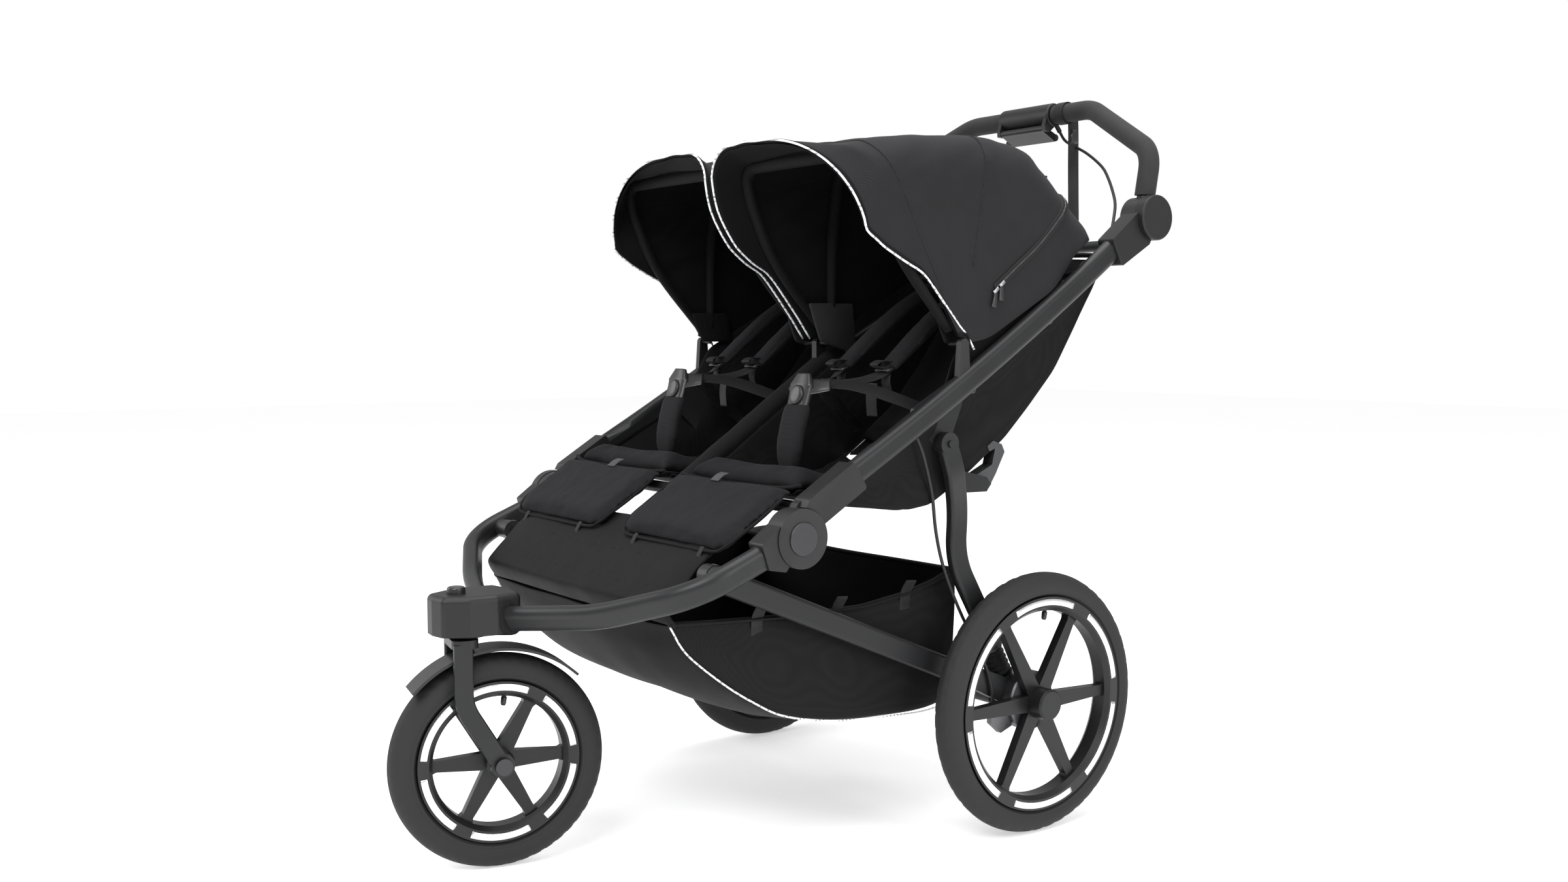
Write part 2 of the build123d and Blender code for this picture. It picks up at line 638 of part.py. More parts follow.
canopy_arches = [(129, 353), (113.6, 327), (75, 343), (58, 368), (40, 392), (27.7, 410)]
CLOTH = 4.0
with BuildPart() as canopy:
    for wall, mode in ((0, Mode.ADD), (CLOTH, Mode.SUBTRACT)):
        for angle, radius in canopy_arches:
            middle = (CANOPY_IN + CANOPY_OUT) / 2
            facing = (0, -sin(radians(angle)), cos(radians(angle)))
            arch_plane = Plane(origin=at(middle, CANOPY_Y, CANOPY_Z), x_dir=(1, 0, 0), z_dir=facing)
            with BuildSketch(arch_plane) as arch:
                with Locations((0, 12 - wall)):
                    Rectangle(CANOPY_OUT - CANOPY_IN - 2 * wall, radius - 12, align=(Align.CENTER, Align.MIN))
                fillet(arch.vertices().group_by(Axis.Y)[-1], 58 - wall)
        loft(ruled=True, mode=mode)
    with BuildSketch(side(CANOPY_IN - 1)):
        with BuildLine():
            Polyline((-150, 740), (-152, 752), (-240, 855), (-280, 869), (-342, 925), (-368, 975),
                     (-374, 1020), (-362, 1060), (-520, 1100), (-520, 700), close=True)
        make_face()
    extrude(amount=CANOPY_OUT - CANOPY_IN + 2, mode=Mode.SUBTRACT)
    with BuildSketch(side(326)):
        with BuildLine():
            Polyline((60, 700), (60, 850), (140, 904), (235, 977), (300, 977), (300, 700), close=True)
        make_face()
    extrude(amount=CANOPY_OUT - 325, mode=Mode.SUBTRACT)
save_pair(canopy, "canopy")

# ---- seats, seat backs and harness ----
SEAT_WALL, SEAT_FLOOR = 5.0, 12.0
seat_low = [(-412, 545), (-364, 530), (-232, 509), (-171, 516), (-113, 552)]
with BuildPart() as seat:
    with BuildSketch(side(SEAT_IN)):
        with BuildLine():
            Polyline(*seat_low, (-113, 700), (-400, 562), close=True)
        make_face()
    extrude(amount=SEAT_OUT - SEAT_IN)
    with BuildSketch(side(SEAT_IN + SEAT_WALL)):
        with BuildLine():
            Polyline((-440, 564), *[(y, z + SEAT_FLOOR) for y, z in seat_low[1:-1]], (-90, 580),
                     (-90, 760), (-440, 760), close=True)
        make_face()
    extrude(amount=SEAT_OUT - SEAT_IN - 2 * SEAT_WALL, mode=Mode.SUBTRACT)
save_pair(seat, "seat")

back_line = [(-72, 595), (12, 655), (62, 722), (180, 880)]
BACK_THICK = 26.0
with BuildPart() as seat_back:
    with BuildSketch(side(SEAT_IN + 2)):
        with BuildLine():
            Polyline(*back_line, *[(y - 0.78 * BACK_THICK, z + 0.62 * BACK_THICK)
                                   for y, z in reversed(back_line)], close=True)
        make_face()
    extrude(amount=SEAT_OUT - SEAT_IN - 4)
    fillet(seat_back.edges().filter_by(Axis.X), 5)
    with BuildSketch(side(SEAT_OUT - 18)):
        with Locations((-60, 600)):
            Rectangle(200, 104)
    extrude(amount=20, mode=Mode.SUBTRACT)
save_pair(seat_back, "seat_back")

PAD_WIDE, PAD_THICK, PAD_SPREAD = 48.0, 13.0, 58.0
with BuildPart() as shoulder_pads:
    for middle in (SEAT_X - PAD_SPREAD, SEAT_X + PAD_SPREAD):
        with BuildSketch(side(middle - PAD_WIDE / 2)):
            with BuildLine():
                Polyline((-190, 700), (-183, 712), (-30, 830), (-38, 840), (-196, 716), close=True)
            make_face()
        extrude(amount=PAD_WIDE)
    fillet(shoulder_pads.edges().filter_by(Axis.X), 4)
save_pair(shoulder_pads, "shoulder_pads")

with BuildPart() as buckle:
    with BuildSketch(side(SEAT_X - 16)):
        with BuildLine():
            Polyline((-344, 542), (-325, 542), (-309, 655), (-308, 684), (-322, 692), (-333, 660), close=True)
        make_face()
    extrude(amount=32)
    fillet(buckle.edges().filter_by(Axis.X), 5)
save_both(buckle, "buckles")

# ---- footrest, calf pads and basket ----
with BuildPart() as footrest:
    with BuildSketch(side(-276)):
        with BuildLine():
            Polyline((-541, 450), (-616, 403), (-619, 396), (-606, 373), (-598, 373), (-606, 395), (-535, 442), close=True)
        make_face()
    extrude(amount=552)
    fillet(footrest.edges().filter_by(Axis.X), 2)
save(footrest, "footrest")

with BuildPart() as calf_pad:
    with BuildSketch(side(24)):
        with BuildLine():
            Polyline((-440, 550), (-556, 479), (-546, 463), (-452, 521), close=True)
        make_face()
    extrude(amount=296)
    fillet(calf_pad.edges().filter_by(Axis.X), 7)
save_pair(calf_pad, "calf_pad")

BASKET_HALF = 275.0
with BuildPart() as basket:
    for wall, mode in ((0, Mode.ADD), (CLOTH, Mode.SUBTRACT)):
        rim = ([(-109, 397), (-346, 376), (-600, 368)] if wall == 0 else [(-113, 470), (-690, 470)])
        with BuildPart(mode=Mode.PRIVATE) as hollow:
            with BuildSketch(side(-300)):
                with BuildLine():
                    Polyline((-690, 356 + 1.5 * wall), (-640, 329 + 1.5 * wall), (-569, 277 + 1.4 * wall),
                             (-485, 238 + 1.2 * wall), (-424, 220 + wall), (-383, 212 + wall),
                             (-150 - wall, 204 + wall), (-109 - wall, 300), *rim, close=True)
                make_face()
            extrude(amount=600)
            with BuildSketch(top(100)):
                with BuildLine():
                    Polyline((0, -700), (50 - wall, -700), (262 - wall, -604), (BASKET_HALF - wall, -560),
                             (BASKET_HALF - wall, -90), (0, -90))
                    mirror(about=Plane.YZ)
                make_face()
            extrude(amount=400, mode=Mode.INTERSECT)
        add(hollow.part, mode=mode)
save(basket, "basket")

# ---- lower rails ----
RAIL_HIGH = 34.0
with BuildPart() as lower_rail:
    with BuildLine(side((RAIL_IN + RAIL_OUT) / 2)) as route:
        Line((RAIL_Y, RAIL_Z), (SPRING_Y, SPRING_Z))
    with BuildSketch(along(route)):
        RectangleRounded(RAIL_OUT - RAIL_IN, RAIL_HIGH, 6)
    sweep(path=route.line)
    with BuildSketch(side(RAIL_IN)):
        with Locations((RAIL_Y, RAIL_Z), (SPRING_Y, SPRING_Z)):
            Circle(16)
    extrude(amount=RAIL_OUT - RAIL_IN)
    with BuildSketch(side(RAIL_IN - 1)):
        with Locations((RAIL_Y, RAIL_Z)):
            Circle(6 + GAP)
    extrude(amount=RAIL_OUT - RAIL_IN + 2, mode=Mode.SUBTRACT)
    with BuildSketch(side(RAIL_OUT)):
        with Locations((SPRING_Y, SPRING_Z)):
            Circle(7)
    extrude(amount=20)
save_pair(lower_rail, "lower_rail")

with BuildPart() as rail_bracket:
    with BuildSketch(side(RAIL_OUT + GAP)):
        with Locations((RAIL_Y, RAIL_Z)):
            Circle(15)
    extrude(amount=22)
    with BuildSketch(side(RAIL_IN - 3)):
        with Locations((RAIL_Y, RAIL_Z)):
            Circle(6)
    extrude(amount=30)
    add(front_tube.part, mode=Mode.SUBTRACT)
save_both(rail_bracket, "rail_brackets")

# ---- sprung rear axle ----
ARM_IN, ARM_OUT = 311.0, 327.0
BELLOWS_TOP, BELLOWS_LOW, BELLOWS_X = (-54.0, 284.0), (-30.5, 241.5), 305.0
bellows_run = Vector(0, BELLOWS_TOP[0] - BELLOWS_LOW[0], BELLOWS_TOP[1] - BELLOWS_LOW[1])
with BuildPart() as rear_axle:
    with BuildSketch(side(ARM_IN)):
        with Locations((SPRING_Y, SPRING_Z)):
            Circle(16)
        with Locations((0, REAR_R)):
            Circle(22)
        with BuildLine():
            Polyline((SPRING_Y - 4, SPRING_Z - 15), (-5, REAR_R - 21), (8, REAR_R + 20),
                     (SPRING_Y + 6, SPRING_Z + 15), close=True)
        make_face()
        with Locations((SPRING_Y, SPRING_Z)):
            Circle(7 + GAP, mode=Mode.SUBTRACT)
    extrude(amount=ARM_OUT - ARM_IN)
    with BuildSketch(side(ARM_OUT)):
        with Locations((0, REAR_R)):
            Circle(7)
    extrude(amount=378 - ARM_OUT)
    mirror(about=Plane.YZ)
    with BuildSketch(side(-ARM_IN)):
        with Locations((BEAM_Y, BEAM_Z)):
            Circle(14)
    extrude(amount=2 * ARM_IN)
    for x in (BELLOWS_X + 4, -BELLOWS_X - 4):
        with BuildSketch(Plane(origin=at(x, *BELLOWS_LOW), z_dir=bellows_run).offset(-GAP)):
            Circle(18)
        extrude(amount=-12)
save(rear_axle, "rear_axle")

with BuildPart() as brake_drum:
    with BuildSketch(side(ARM_OUT)):
        with Locations((0, REAR_R)):
            Circle(46)
            Circle(7, mode=Mode.SUBTRACT)
    extrude(amount=19.5)
    fillet(brake_drum.edges().filter_by(GeomType.CIRCLE).sort_by(Edge.length.fget)[-1], 3)
    with BuildSketch(side(ARM_OUT)):
        with BuildLine():
            Polyline((-77, 186), (-77, 173), (-57, 156), (-34, 164), (-34, 186), close=True)
        make_face()
    extrude(amount=10)
save_both(brake_drum, "brake_drums")

ribs = 5
rib = bellows_run.length / ribs
with BuildPart() as bellows:
    with BuildSketch(Plane(origin=at(BELLOWS_X, *BELLOWS_LOW), x_dir=bellows_run.normalized(),
                           z_dir=Vector(1, 0, 0).cross(bellows_run))):
        with BuildLine():
            outline = [(0, 0)]
            for i in range(ribs):
                outline += [(i * rib, 15), ((i + 0.5) * rib, 20)]
            Polyline(*outline, (bellows_run.length, 15), (bellows_run.length, 0), close=True)
        make_face()
    revolve(axis=Axis(at(BELLOWS_X, *BELLOWS_LOW), bellows_run))
    add(rear_axle.part, mode=Mode.SUBTRACT)
save_both(bellows, "suspension_bellows")

with BuildPart() as brake_pedal:
    with BuildSketch(side(-42)):
        with Locations((BEAM_Y, BEAM_Z)):
            Circle(19)
        with BuildLine():
            Polyline((BEAM_Y + 8, BEAM_Z + 8), (20, 222), (40, 236), (37, 241), (14, 230),
                     (BEAM_Y + 4, BEAM_Z + 16), close=True)
        make_face()
        with Locations((BEAM_Y, BEAM_Z)):
            Circle(14 + GAP, mode=Mode.SUBTRACT)
    extrude(amount=84)
save(brake_pedal, "brake_pedal")

# ---- rear legs and the latch that holds the folded frame ----
LEG_WIDE, LEG_THICK, LEG_TOP_X = 34.0, 16.0, 339.5
with BuildPart() as rear_leg:
    with BuildLine() as route:
        FilletPolyline(at(LEG_TOP_X, LEG_Y, LEG_Z), at(LEG_TOP_X, -160, 562), at(LEG_X, -134, 500),
                       at(LEG_X, -139, 428), at(LEG_X, -57, 289), radius=[80, 110, 120])
    with BuildSketch(along(route)):
        RectangleRounded(LEG_THICK, LEG_WIDE, 5)
    sweep(path=route.line)
    with BuildSketch(side(LEG_TOP_X - LEG_THICK / 2)):
        with Locations((LEG_Y, LEG_Z)):
            Circle(17)
    extrude(amount=LEG_THICK)
    with BuildSketch(Plane(origin=at(BELLOWS_X + 2, *BELLOWS_TOP), z_dir=bellows_run).offset(0.5)):
        Circle(21)
    extrude(amount=8)
    with BuildSketch(side(330 + GAP - 1)):
        with Locations((LEG_Y, LEG_Z)):
            Circle(18)
    extrude(amount=1, mode=Mode.SUBTRACT)
    with BuildSketch(side(310)):
        with Locations((LEG_Y, LEG_Z)):
            Circle(5 + GAP)
    extrude(amount=50, mode=Mode.SUBTRACT)
LATCH_SPLIT = 322.0
with BuildPart() as latch_leg:
    add(rear_leg.part)
    with BuildSketch(side(LATCH_SPLIT)):
        with BuildLine():
            Polyline((-140, 562), (-136, 528), (LATCH_Y, LATCH_Z - 11), (LATCH_Y + 10, LATCH_Z),
                     (LATCH_Y, LATCH_Z + 11), close=True)
        make_face()
    extrude(amount=8)
    with BuildSketch(side(298)):
        with Locations((LATCH_Y, LATCH_Z)):
            Circle(4)
    extrude(amount=LATCH_SPLIT - 298)
save(latch_leg, "rear_leg_left")
with BuildPart() as right_leg:
    mirror(rear_leg.part, about=Plane.YZ)
save(right_leg, "rear_leg_right")

with BuildPart() as fold_latch:
    with BuildSketch(side(301)):
        with BuildLine():
            Polyline((-96, 530), (-76, 526), (-58, 552), (-40, 584), (-46, 596), (-64, 602), (-76, 594),
                     (-72, 586), (-60, 590), (-66, 566), (-98, 552), close=True)
        make_face()
        with Locations((LATCH_Y, LATCH_Z)):
            Circle(4 + GAP, mode=Mode.SUBTRACT)
    extrude(amount=LATCH_SPLIT - GAP - 301)
save(fold_latch, "fold_latch")
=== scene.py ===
import json
import math

import bmesh
import bpy
from mathutils import Matrix, Vector, noise
from mathutils.kdtree import KDTree


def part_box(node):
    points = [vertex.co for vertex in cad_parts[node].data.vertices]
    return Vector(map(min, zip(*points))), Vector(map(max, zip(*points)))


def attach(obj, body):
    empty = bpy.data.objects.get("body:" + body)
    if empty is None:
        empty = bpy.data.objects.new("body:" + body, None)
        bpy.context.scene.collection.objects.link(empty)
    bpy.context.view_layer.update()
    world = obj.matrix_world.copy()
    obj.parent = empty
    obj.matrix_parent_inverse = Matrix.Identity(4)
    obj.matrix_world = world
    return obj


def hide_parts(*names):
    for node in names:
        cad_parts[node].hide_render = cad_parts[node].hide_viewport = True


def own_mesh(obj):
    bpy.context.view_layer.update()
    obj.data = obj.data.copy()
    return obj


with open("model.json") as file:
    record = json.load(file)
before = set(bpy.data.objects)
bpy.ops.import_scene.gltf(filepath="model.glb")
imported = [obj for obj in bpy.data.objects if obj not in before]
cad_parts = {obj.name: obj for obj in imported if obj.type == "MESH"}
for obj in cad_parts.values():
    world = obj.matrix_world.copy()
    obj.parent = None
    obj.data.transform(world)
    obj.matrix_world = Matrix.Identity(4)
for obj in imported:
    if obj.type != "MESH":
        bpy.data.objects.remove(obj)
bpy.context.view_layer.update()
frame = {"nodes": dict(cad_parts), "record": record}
AXLE = 261.6                     # the rear axle, behind the origin, in millimetres


def P(x, y, z):
    """Point in metres from millimetres, y measured from the rear axle."""
    return Vector((x, AXLE + y, z)) / 1000


# ---------------------------------------------------------------- mesh helpers
def link(name, mesh):
    obj = bpy.data.objects.new(name, mesh)
    bpy.context.scene.collection.objects.link(obj)
    return obj


def grid(name, rows, ring=False, ends=False, flip=False):
    """A smooth quad sheet through rows of points. ring joins each row's ends; ends caps the outer rows."""
    n = len(rows[0])
    verts = [p for row in rows for p in row]
    span = n if ring else n - 1
    faces = []
    for i in range(len(rows) - 1):
        for j in range(span):
            k = (j + 1) % n
            quad = (i * n + j, i * n + k, (i + 1) * n + k, (i + 1) * n + j)
            faces.append(quad[::-1] if flip else quad)
    if ends:
        faces += [tuple(range(n))[::-1], tuple(range((len(rows) - 1) * n, len(rows) * n))]
    mesh = bpy.data.meshes.new(name)
    mesh.from_pydata(verts, [], faces)
    mesh.validate()
    for polygon in mesh.polygons:
        polygon.use_smooth = True
    return link(name, mesh)


def outward(obj, weld=0.0, other=None):
    """Turns every face outward, after adding another mesh and welding points closer than weld."""
    bm = bmesh.new()
    bm.from_mesh(obj.data)
    if other:
        bm.from_mesh(other.data)
        bpy.data.objects.remove(other)
    if weld:
        bmesh.ops.remove_doubles(bm, verts=bm.verts, dist=weld)
    bmesh.ops.recalc_face_normals(bm, faces=bm.faces)
    bm.to_mesh(obj.data)
    bm.free()
    return obj


def settle(obj):
    """Applies every modifier."""
    graph = bpy.context.evaluated_depsgraph_get()
    graph.update()
    mesh = bpy.data.meshes.new_from_object(obj.evaluated_get(graph))
    obj.modifiers.clear()
    obj.data = mesh
    for polygon in mesh.polygons:
        polygon.use_smooth = True
    return obj


def thicken(obj, mm, offset=-1.0, subdivide=0):
    solid = obj.modifiers.new("thickness", "SOLIDIFY")
    solid.thickness = mm / 1000
    solid.offset = offset
    if subdivide:
        smooth = obj.modifiers.new("smooth", "SUBSURF")
        smooth.levels = smooth.render_levels = subdivide
    return settle(obj)


def curve_points(points, per=8):
    """A smooth line through the points."""
    out = []
    for i in range(len(points) - 1):
        b, c = points[i], points[i + 1]
        a = points[i - 1] if i else b + (b - c)
        d = points[i + 2] if i + 2 < len(points) else c + (c - b)
        for s in range(per):
            t = s / per
            out.append(0.5 * ((2 * b) + (c - a) * t + (2 * a - 5 * b + 4 * c - d) * t * t
                              + (3 * b - a - 3 * c + d) * t * t * t))
    return out + [points[-1].copy()]


def frames(line, up=None):
    """Tangent, side and up vectors along a line, turned as little as possible."""
    result = []
    side = None
    for i, point in enumerate(line):
        tangent = (line[min(i + 1, len(line) - 1)] - line[max(i - 1, 0)]).normalized()
        if up is not None:
            guide = up[i] if isinstance(up, list) else up
            side = tangent.cross(guide).normalized()
        elif side is None:
            side = tangent.orthogonal().normalized()
        else:
            side = (side - tangent * side.dot(tangent)).normalized()
        result.append((point, tangent, side, side.cross(tangent).normalized()))
    return result


def section(kind, a, b, n=12):
    """Outline of a strap, rod or oval in its own plane, in millimetres."""
    if kind == "strap":
        r = min(a, b) / 2
        pts = []
        for cx, cy, start in ((a / 2 - r, b / 2 - r, 0), (-a / 2 + r, b / 2 - r, 90),
                              (-a / 2 + r, -b / 2 + r, 180), (a / 2 - r, -b / 2 + r, 270)):
            for k in range(3):
                t = math.radians(start + 45 * k)
                pts.append((cx + r * math.cos(t), cy + r * math.sin(t)))
        return pts
    return [(a * math.cos(2 * math.pi * k / n), b * math.sin(2 * math.pi * k / n)) for k in range(n)]


def strip(name, points, a, b, kind="oval", up=None, per=8, n=12, grow=None):
    """Sweeps a section along a smooth line. a is its size to the side, b upward."""
    line = curve_points(points, per)
    ups = curve_points(up, per) if isinstance(up, list) else up
    rows = []
    for i, (point, tangent, side, top) in enumerate(frames(line, ups)):
        k = grow(i / (len(line) - 1)) if grow else 1.0
        rows.append([point + side * (u * k / 1000) + top * (v * k / 1000) for u, v in section(kind, a, b, n)])
    return outward(grid(name, rows, ring=True, ends=True))


def lathe(name, centre, axis, profile, steps=96, close=True):
    """Revolves (along the axis, radius) pairs in millimetres about an axis."""
    axis = axis.normalized()
    u = Vector((0, 0, 1)) if abs(axis.z) < 0.9 else Vector((0, 1, 0))
    u = (u - axis * u.dot(axis)).normalized()
    v = axis.cross(u)
    rows = []
    for k in range(steps):
        t = 2 * math.pi * k / steps
        spoke = u * math.cos(t) + v * math.sin(t)
        rows.append([centre + axis * (a / 1000) + spoke * (r / 1000) for a, r in profile])
    rows.append(rows[0])
    return outward(grid(name, rows, ring=close), weld=1e-6)


def join(name, objs):
    """Several meshes as one piece, each keeping its material."""
    bm = bmesh.new()
    materials = []
    for obj in objs:
        start = len(bm.faces)
        slots = []
        for m in obj.data.materials:
            if m not in materials:
                materials.append(m)
            slots.append(materials.index(m))
        bm.from_mesh(obj.data)
        bm.faces.ensure_lookup_table()
        for face in bm.faces[start:]:
            face.material_index = slots[face.material_index] if slots else 0
    mesh = bpy.data.meshes.new(name)
    bm.to_mesh(mesh)
    bm.free()
    for m in materials:
        mesh.materials.append(m)
    for obj in objs:
        bpy.data.objects.remove(obj)
    return link(name, mesh)


def twin(obj):
    """The same piece on the stroller's right side."""
    name = obj.name.replace("_left", "_right")
    mesh = obj.data.copy()
    mesh.name = name
    mesh.transform(Matrix.Scale(-1, 4, (1, 0, 0)))
    mesh.flip_normals()
    return link(name, mesh)


def paint(obj, material):
    obj.data.materials.clear()
    obj.data.materials.append(material)
    return obj


def strap(name, points, wide, thick, up, material, **more):
    """A flat painted strap through the points, its face turned to up."""
    return paint(strip(name, points, wide, thick, "strap", up, **more), material)


def rod(name, points, a, b, material, **more):
    """A painted round or oval cord through the points."""
    return paint(strip(name, points, a, b, **more), material)


def surface_rows(point, nu, nv):
    """Rows of point(u, v), with u along each row and v from row to row, both from 0 to 1."""
    return [[point(j / nu, i / nv) for j in range(nu + 1)] for i in range(nv + 1)]


def crumple(obj, mm, size, seed=0.0):
    """Soft uneven folds over a piece."""
    normals = [v.normal.copy() for v in obj.data.vertices]
    shift = Vector((seed, seed * 1.7, seed * 0.6))
    for vertex, normal in zip(obj.data.vertices, normals):
        p = vertex.co * (1000 / size)
        k = noise.noise(p + shift) + 0.4 * noise.noise(p * 2.3 + shift)
        vertex.co += normal * (mm * k / 1000)
    obj.data.update()
    return obj


def sheet(name, rows, mm, material, folds=None):
    """A sheet of cloth through rows of points, with its thickness, its uneven folds and its material."""
    obj = thicken(outward(grid(name, rows)), mm, 0.0, 1)
    if folds:
        crumple(obj, *folds)
    return paint(obj, material)


# ---------------------------------------------------------------- materials
def new_material(name):
    material = bpy.data.materials.new(name)
    material.use_nodes = True
    tree = material.node_tree
    return material, tree, tree.nodes["Principled BSDF"]


def dial(item, **values):
    """Sets a shader node's inputs; an underscore in a name stands for a space."""
    for key, value in values.items():
        item.inputs[key.replace("_", " ")].default_value = value
    return item


def scaled(tree, scale, turn=(0, 0, 0)):
    where = tree.nodes.new("ShaderNodeTexCoord")
    mapping = dial(tree.nodes.new("ShaderNodeMapping"), Scale=scale, Rotation=turn)
    tree.links.new(where.outputs["Object"], mapping.inputs["Vector"])
    return mapping.outputs["Vector"]


def maths(tree, operation, a, b=None):
    item = tree.nodes.new("ShaderNodeMath")
    item.operation = operation
    for slot, value in ((0, a), (1, b)):
        if value is None:
            continue
        if isinstance(value, (int, float)):
            item.inputs[slot].default_value = value
        else:
            tree.links.new(value, item.inputs[slot])
    return item.outputs[0]


def mottle(tree, scale, detail=4.0, rough=0.55, stretch=(1, 1, 1)):
    item = dial(tree.nodes.new("ShaderNodeTexNoise"), Scale=scale, Detail=detail, Roughness=rough)
    tree.links.new(scaled(tree, stretch), item.inputs["Vector"])
    return item.outputs["Fac"]


def bands(tree, pitch_mm, direction, turn=(0, 0, 0)):
    """Threads of the given pitch across one direction."""
    item = tree.nodes.new("ShaderNodeTexWave")
    item.wave_type, item.bands_direction = "BANDS", direction
    dial(item, Scale=1000 / pitch_mm / 20 * 2 * math.pi, Distortion=0.6, Detail_Scale=2.0)
    tree.links.new(scaled(tree, (1, 1, 1), turn), item.inputs["Vector"])
    return item.outputs["Fac"]


def shade(tree, bsdf, color, dark, light, fac):
    """Base colour that varies between a darker and a lighter shade of itself."""
    ramp = tree.nodes.new("ShaderNodeMix")
    ramp.data_type = "RGBA"
    dial(ramp, A=(*[c * dark for c in color], 1), B=(*[min(1, c * light) for c in color], 1))
    tree.links.new(fac, ramp.inputs["Factor"])
    tree.links.new(ramp.outputs["Result"], bsdf.inputs["Base Color"])
    return ramp


def relief(tree, bsdf, height, strength, depth_mm):
    bump = dial(tree.nodes.new("ShaderNodeBump"), Strength=strength, Distance=depth_mm / 1000)
    tree.links.new(height, bump.inputs["Height"])
    tree.links.new(bump.outputs["Normal"], bsdf.inputs["Normal"])


def rough_between(tree, bsdf, low, high, fac):
    spread = dial(tree.nodes.new("ShaderNodeMapRange"), To_Min=low, To_Max=high)
    tree.links.new(fac, spread.inputs["Value"])
    tree.links.new(spread.outputs["Result"], bsdf.inputs["Roughness"])


def cloth(name, color, pitch=1.1, twill=False, rough=0.8, sheen=0.25, fold=0.25, thread=0.5):
    """Woven fabric: crossing threads, slight mottling, soft sheen, faint creases."""
    material, tree, bsdf = new_material(name)
    across = bands(tree, pitch, "X", (0.0, 0.0, 0.6) if twill else (0, 0, 0))
    along = bands(tree, pitch, "DIAGONAL" if twill else "Z", (0.5, 0.0, 0.0) if twill else (0, 0, 0))
    deep = bands(tree, pitch, "Y")
    weave = maths(tree, "MULTIPLY", across, maths(tree, "MAXIMUM", along, deep))
    patches = mottle(tree, 22.0)
    crease = mottle(tree, 9.0, 3.0, 0.5, (1.0, 0.6, 1.5))
    fac = maths(tree, "ADD", maths(tree, "MULTIPLY", weave, 0.45), maths(tree, "MULTIPLY", patches, 0.55))
    shade(tree, bsdf, color, 0.62, 1.5, fac)
    height = maths(tree, "ADD", maths(tree, "MULTIPLY", weave, thread),
                   maths(tree, "MULTIPLY", crease, fold * 14))
    relief(tree, bsdf, height, 0.35, 0.45)
    rough_between(tree, bsdf, rough - 0.08, min(1.0, rough + 0.1), patches)
    dial(bsdf, Sheen_Weight=sheen * 0.16, Sheen_Roughness=0.4, Sheen_Tint=(0.7, 0.7, 0.75, 1),
         Specular_IOR_Level=0.12)
    return material


def webbing(name, color, pitch=1.6):
    material, tree, bsdf = new_material(name)
    weave = maths(tree, "MULTIPLY", bands(tree, pitch, "Z"), bands(tree, pitch * 0.8, "X"))
    shade(tree, bsdf, color, 0.55, 1.6, weave)
    relief(tree, bsdf, weave, 0.5, 0.5)
    rough_between(tree, bsdf, 0.55, 0.75, mottle(tree, 40.0))
    dial(bsdf, Sheen_Weight=0.03, Specular_IOR_Level=0.25)
    return material


def coated(name, color, rough=0.42, metallic=0.0, grain=900.0, depth=0.05, wear=0.25, coat=0.0):
    """Powder coat or moulded plastic: fine grain, uneven gloss, lighter along worn edges."""
    material, tree, bsdf = new_material(name)
    fine = mottle(tree, grain, 3.0, 0.6)
    broad = mottle(tree, 12.0)
    mix = shade(tree, bsdf, color, 0.8, 1.25, broad)
    geometry = tree.nodes.new("ShaderNodeNewGeometry")
    edge = dial(tree.nodes.new("ShaderNodeMapRange"), From_Min=0.53, From_Max=0.62, To_Max=wear)
    tree.links.new(geometry.outputs["Pointiness"], edge.inputs["Value"])
    worn = tree.nodes.new("ShaderNodeMix")
    worn.data_type = "RGBA"
    dial(worn, B=(*[min(1, c * 4 + 0.03) for c in color], 1))
    tree.links.new(mix.outputs["Result"], worn.inputs["A"])
    tree.links.new(edge.outputs["Result"], worn.inputs["Factor"])
    tree.links.new(worn.outputs["Result"], bsdf.inputs["Base Color"])
    rough_between(tree, bsdf, rough - 0.05, rough + 0.09, broad)
    relief(tree, bsdf, fine, 0.25, depth)
    dial(bsdf, Metallic=metallic, Specular_IOR_Level=0.34, Coat_Weight=coat, Coat_Roughness=0.25)
    return material


def metal(name, color, rough=0.3, stretch=(1, 1, 1)):
    material, tree, bsdf = new_material(name)
    lines = mottle(tree, 260.0, 3.0, 0.6, stretch)
    shade(tree, bsdf, color, 0.8, 1.15, lines)
    rough_between(tree, bsdf, rough - 0.08, rough + 0.12, lines)
    relief(tree, bsdf, lines, 0.15, 0.04)
    dial(bsdf, Metallic=1.0)
    return material


def rubber(name, color, rough=0.75, grain=420.0, depth=0.15):
    material, tree, bsdf = new_material(name)
    fine = mottle(tree, grain, 4.0, 0.6)
    dust = mottle(tree, 18.0)
    shade(tree, bsdf, color, 0.75, 1.5, dust)
    rough_between(tree, bsdf, rough - 0.08, rough + 0.1, dust)
    relief(tree, bsdf, fine, 0.3, depth)
    dial(bsdf, Specular_IOR_Level=0.35)
    return material


def foam(name, color):
    material, tree, bsdf = new_material(name)
    cells = dial(tree.nodes.new("ShaderNodeTexVoronoi"), Scale=750.0)
    tree.links.new(scaled(tree, (1, 1, 1)), cells.inputs["Vector"])
    shade(tree, bsdf, color, 0.6, 1.5, cells.outputs["Distance"])
    relief(tree, bsdf, cells.outputs["Distance"], 0.5, 0.35)
    rough_between(tree, bsdf, 0.78, 0.92, mottle(tree, 30.0))
    dial(bsdf, Sheen_Weight=0.02)
    return material


